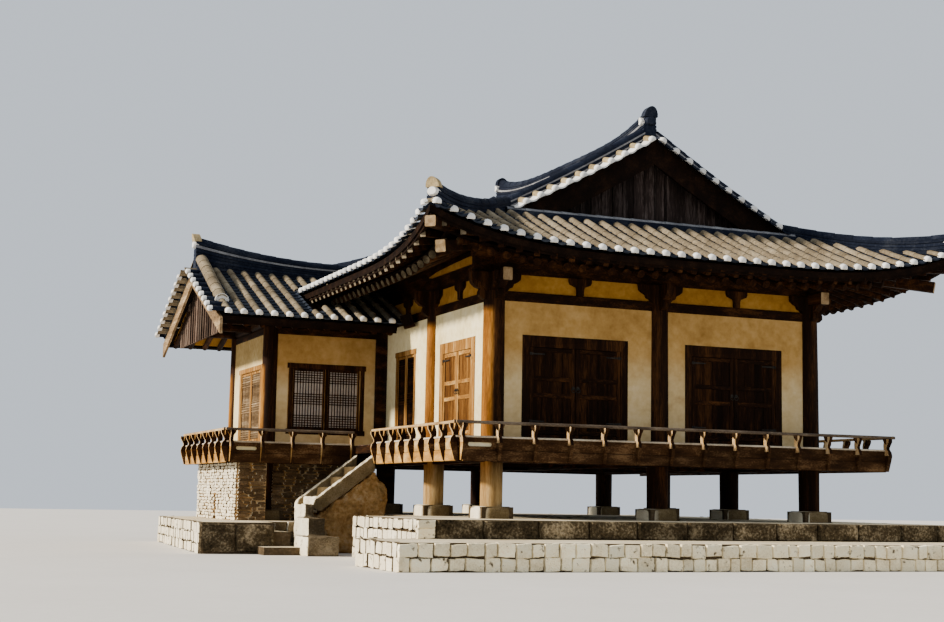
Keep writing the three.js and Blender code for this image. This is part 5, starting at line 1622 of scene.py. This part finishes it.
face_with_stones("wing_plinth_rubble", facing, RUBBLE, [
    ((-3.3, 8.2), (-3.75, 2.4), 0, WING_PLINTH_TOP), ((-0.6, 8.2), (-3.3, 8.2), 0, WING_PLINTH_TOP),
    ((-2.62, 3.3), (-1.9, 3.3), 0, WING_PLINTH_TOP),
    ((-1.9, 3.95), (-0.6, 3.95), 0, WING_PLINTH_TOP)], 0.6, 16)
face_with_stones("wing_plinth_blocks", block_stone, (0.585, 0.43, 0.05), [
    ((-3.79, 2.4), (-2.62, 2.4), 0.03, 0.46)], 0.12, 16)
MASONRY = [((-2.8, 7.28), (-2.8, 5.84)), ((-2.8, 5.70), (-2.8, 4.21)), ((-2.8, 5.84), (-2.8, 5.70)),
           ((-2.8, 4.21), (-2.31, 4.21)), ((-2.31, 7.28), (-2.8, 7.28)), ((-2.1, 4.71), (-0.62, 4.71)),
           ((-0.62, 7.29), (-2.1, 7.29))]
face_with_stones("wing_masonry", masonry_stone, (0.19, 0.052, 0.03), [
    (*run, 0.92 if k == 2 else WING_PLINTH_TOP, MASONRY_TOP) for k, run in enumerate(MASONRY)], 1.2)

# %% [markdown]
# ## The stair and the stones under the posts
#
# The stair climbs between two sloping slabs, over a core of earth and rubble. These blocks come
# with the construction, so each is worn by the same function with its own strength. Every post
# stands on a squared stone, a loft whose corners are uneven and whose top is a little narrower.

# %% The stair, the steps and the stones under the posts
STAIR_MIDDLE = 0.9
BASE_HALF = 0.262


def sunk_tread(z):
    """The upper treads lie lower than the side slabs."""
    return z if z < STAIR_MIDDLE else STAIR_MIDDLE - 0.02 + 0.78 * (z - STAIR_MIDDLE)


def base_stones():
    pile = Pile()
    chance = np.random.default_rng(11)
    spots = [(x, y, 0.60) for x in POSTS_X for y in POSTS_Y if not (x == FRONT_BAY and 0 < y < DEPTH)]
    spots += [(-WING_BAY, y, 0.46) for y in (WING_FRONT, DEPTH)]
    around = circle(16, 0.2)
    for x, y, low in spots:
        bend = chance.uniform(0.97, 1.04, len(around))
        reaches = [BASE_HALF * out / max(abs(a), abs(b)) ** 0.85 for (a, b), out in zip(around, bend)]
        outline = [(a * reach, b * reach) for (a, b), reach in zip(around, reaches)]
        top = low + 0.197
        heights = ((low, 1.04), (low + 0.12, 1.03), (top - 0.025, 1.0), (top, 0.92))
        pile.loft([[(x + a * grow, y + b * grow, z) for a, b in outline] for z, grow in heights])
    pile.piece("post_base_stones", [granite], "stone", smooth=True)


# Painted shade: the treads above the middle of the stair are dark, as in the shadow between the slabs.
SHADED = ((0.02, 0.013, 0.006), (0.055, 0.037, 0.016), (0.11, 0.08, 0.04))
shaded_stone = stone("stone between the slabs", SHADED, 0.2, 0.6, 0.015, rough=0.95)
for side in ("near", "far"):
    worn_stone("stair_parapet_" + side, "stair_slab_" + side, [granite], 0.022, 0.035, 0.12)
worn_stone("stair_flight", "stair_steps", [facing, shaded_stone], 0.022, 0.03, 0.12,
           sunk_tread, STAIR_MIDDLE)
worn_stone("stair_mass", "stair_core", [rubble_mortar], 0.03, 0.24, 0.3)
worn_stone("entry_steps", "entry_blocks", [facing], 0.022, 0.04, 0.15)
base_stones()

# %% [markdown]
# ## Floor boards and the name board
#
# The veranda floor is laid with short boards that run out from the house. Each is a box a hair
# higher or lower than the next, so the seams show as they do between real boards. A plain dark
# board hangs under the left eave, over the side window.

# %% Boards on the floor
FLOOR_BOARD = 0.21
DECK_LOW, DECK_TOP = 1.74, 1.762
FLOORS = [(-0.85, 6.41, -0.85, -0.09, False), (-0.85, -0.09, -0.07, 3.90, True),
          (5.65, 6.41, -0.07, 7.29, True), (0.1, 5.46, 0.1, 7.1, False),
          (-3.015, -0.1, 3.945, 4.70, False), (-3.015, -2.25, 4.72, 7.29, True),
          (-2.05, -0.1, 4.9, 7.1, False)]


def floor_boards():
    """Boards that fill each rectangle. The last value of a floor says that they run along X."""
    pile = Pile()
    for x0, x1, y0, y1, along_x in FLOORS:
        chance = np.random.default_rng(int(100 * (x0 + y0) + 900))
        span = y1 - y0 if along_x else x1 - x0
        count = max(1, round(span / FLOOR_BOARD))
        for k in range(count):
            a, b = (span * (k + part) / count for part in (0.012, 0.988))
            top = DECK_TOP + chance.uniform(-0.002, 0.002)
            low, high = ((x0, y0 + a), (x1, y0 + b)) if along_x else ((x0 + a, y0), (x0 + b, y1))
            pile.box((*low, DECK_LOW), (*high, top))
    pile.piece("floor_boards", [grey_boards], "boards")


def name_board():
    """A panel with a thin frame, leaning out at its top."""
    pile = Pile()
    u0, u1, z0, z1 = DEPTH - 3.58, DEPTH - 3.06, 3.76, 3.98
    for out, grow in ((0.0, 0.0), (0.012, -0.035)):
        shape = oblong(u0 - grow, u1 + grow, z0 - grow, z1 + grow)
        rings = [[LEFT.at(u, 0.125 + out + depth + 0.09 * (z - z0) / (z1 - z0), z) for u, z in shape]
                 for depth in (0.0, 0.02)]
        pile.loft(rings, 0 if grow else 1)
    pile.piece("name_board", [eave_wood, dark_wood], "timber")


floor_boards()
name_board()

# %% [markdown]
# ## Finishes for the pieces that stay as they are
#
# Walls, floors, purlins, door frames and bargeboards already have their true shapes, so they only
# need a finish.

# %% Finishing the rest
# Painted light: the top of the packed earth, which looks up, is pale as if sunlit.
earth = stone("packed earth", ((0.03, 0.02, 0.01), (0.07, 0.048, 0.026), (0.14, 0.10, 0.06)),
              0.03, 0.6, fine=24.0, scale=1.2, rough=0.95,
              top=(((0.45, 0.36, 0.21), (0.68, 0.57, 0.38), (0.82, 0.73, 0.53)),))
DRESSED = [
    (ochre, ["front_wall_1", "front_wall_2", "back_wall_1", "back_wall_2", "wing_front_wall",
             "wing_back_wall", "right_wall_1", "right_wall_2", "right_wall_3"]),
    (deep_ochre, ["main_upper_wall", "wing_upper_wall"]),
    (pale_plaster, ["left_wall_1", "left_wall_2"]),
    (shaded_plaster, ["wing_left_wall"]),
    (earth, ["main_plinth", "wing_plinth"]),
    (rubble_mortar, ["fire_wall", "wing_base_wall"]),
    (dark_wood, ["main_floor", "wing_floor", "wing_purlins"]),
    (beams_wood, ["main_purlins"]),
    (eave_wood, ["front_bargeboards", "back_bargeboards"]),
    (edge_wood, ["wing_bargeboards"]),
    (stile_wood, ["front_door_1_frame", "front_door_2_frame", "side_door_frame"])]
for material, nodes in DRESSED:
    for node in nodes:
        mesh = bpy.data.objects[node].data
        mesh.materials.clear()
        mesh.materials.append(material)
shown = [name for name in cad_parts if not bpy.data.objects[name].hide_render]
print("nodes that stay", len(shown))

# %% [markdown]
# ## Light and ground
#
# A low warm sun from the left, and a little from behind, gives the tiles and railings their
# bright sides. It is a lamp with parallel rays, made wide enough that its shadows are soft. A
# pale, even surrounding light fills the shaded front, and the floor is one large plain square.

# %% Lights, floor and hand-over
TO_SUN = Vector((-0.92, 0.11, 0.385))
FLOOR_REACH = 60


def light_scene():
    sun = add_object("sun", bpy.data.lights.new("sun", "SUN"))
    sun.data.energy = 9.2
    sun.data.angle = math.radians(5)
    sun.data.color = (1.0, 0.91, 0.78)
    sun.rotation_euler = TO_SUN.to_track_quat("Z", "Y").to_euler()
    world = bpy.data.worlds.new("pale surround")
    world.use_nodes = True
    light = world.node_tree.nodes["Background"].inputs
    light["Color"].default_value = (0.80, 0.88, 0.98, 1)
    light["Strength"].default_value = 0.92
    bpy.context.scene.world = world


def lay_floor():
    mesh = bpy.data.meshes.new("floor")
    square = oblong(-FLOOR_REACH, FLOOR_REACH, -FLOOR_REACH, FLOOR_REACH)
    mesh.from_pydata([(x, y, 0) for x, y in square], [], [(0, 1, 2, 3)])
    sand = ((0.66, 0.62, 0.56), (0.69, 0.65, 0.59), (0.72, 0.68, 0.62))
    mesh.materials.append(finish("pale floor", sand, scale=0.5, variation=0.0))
    add_object("floor", mesh)


light_scene()
lay_floor()
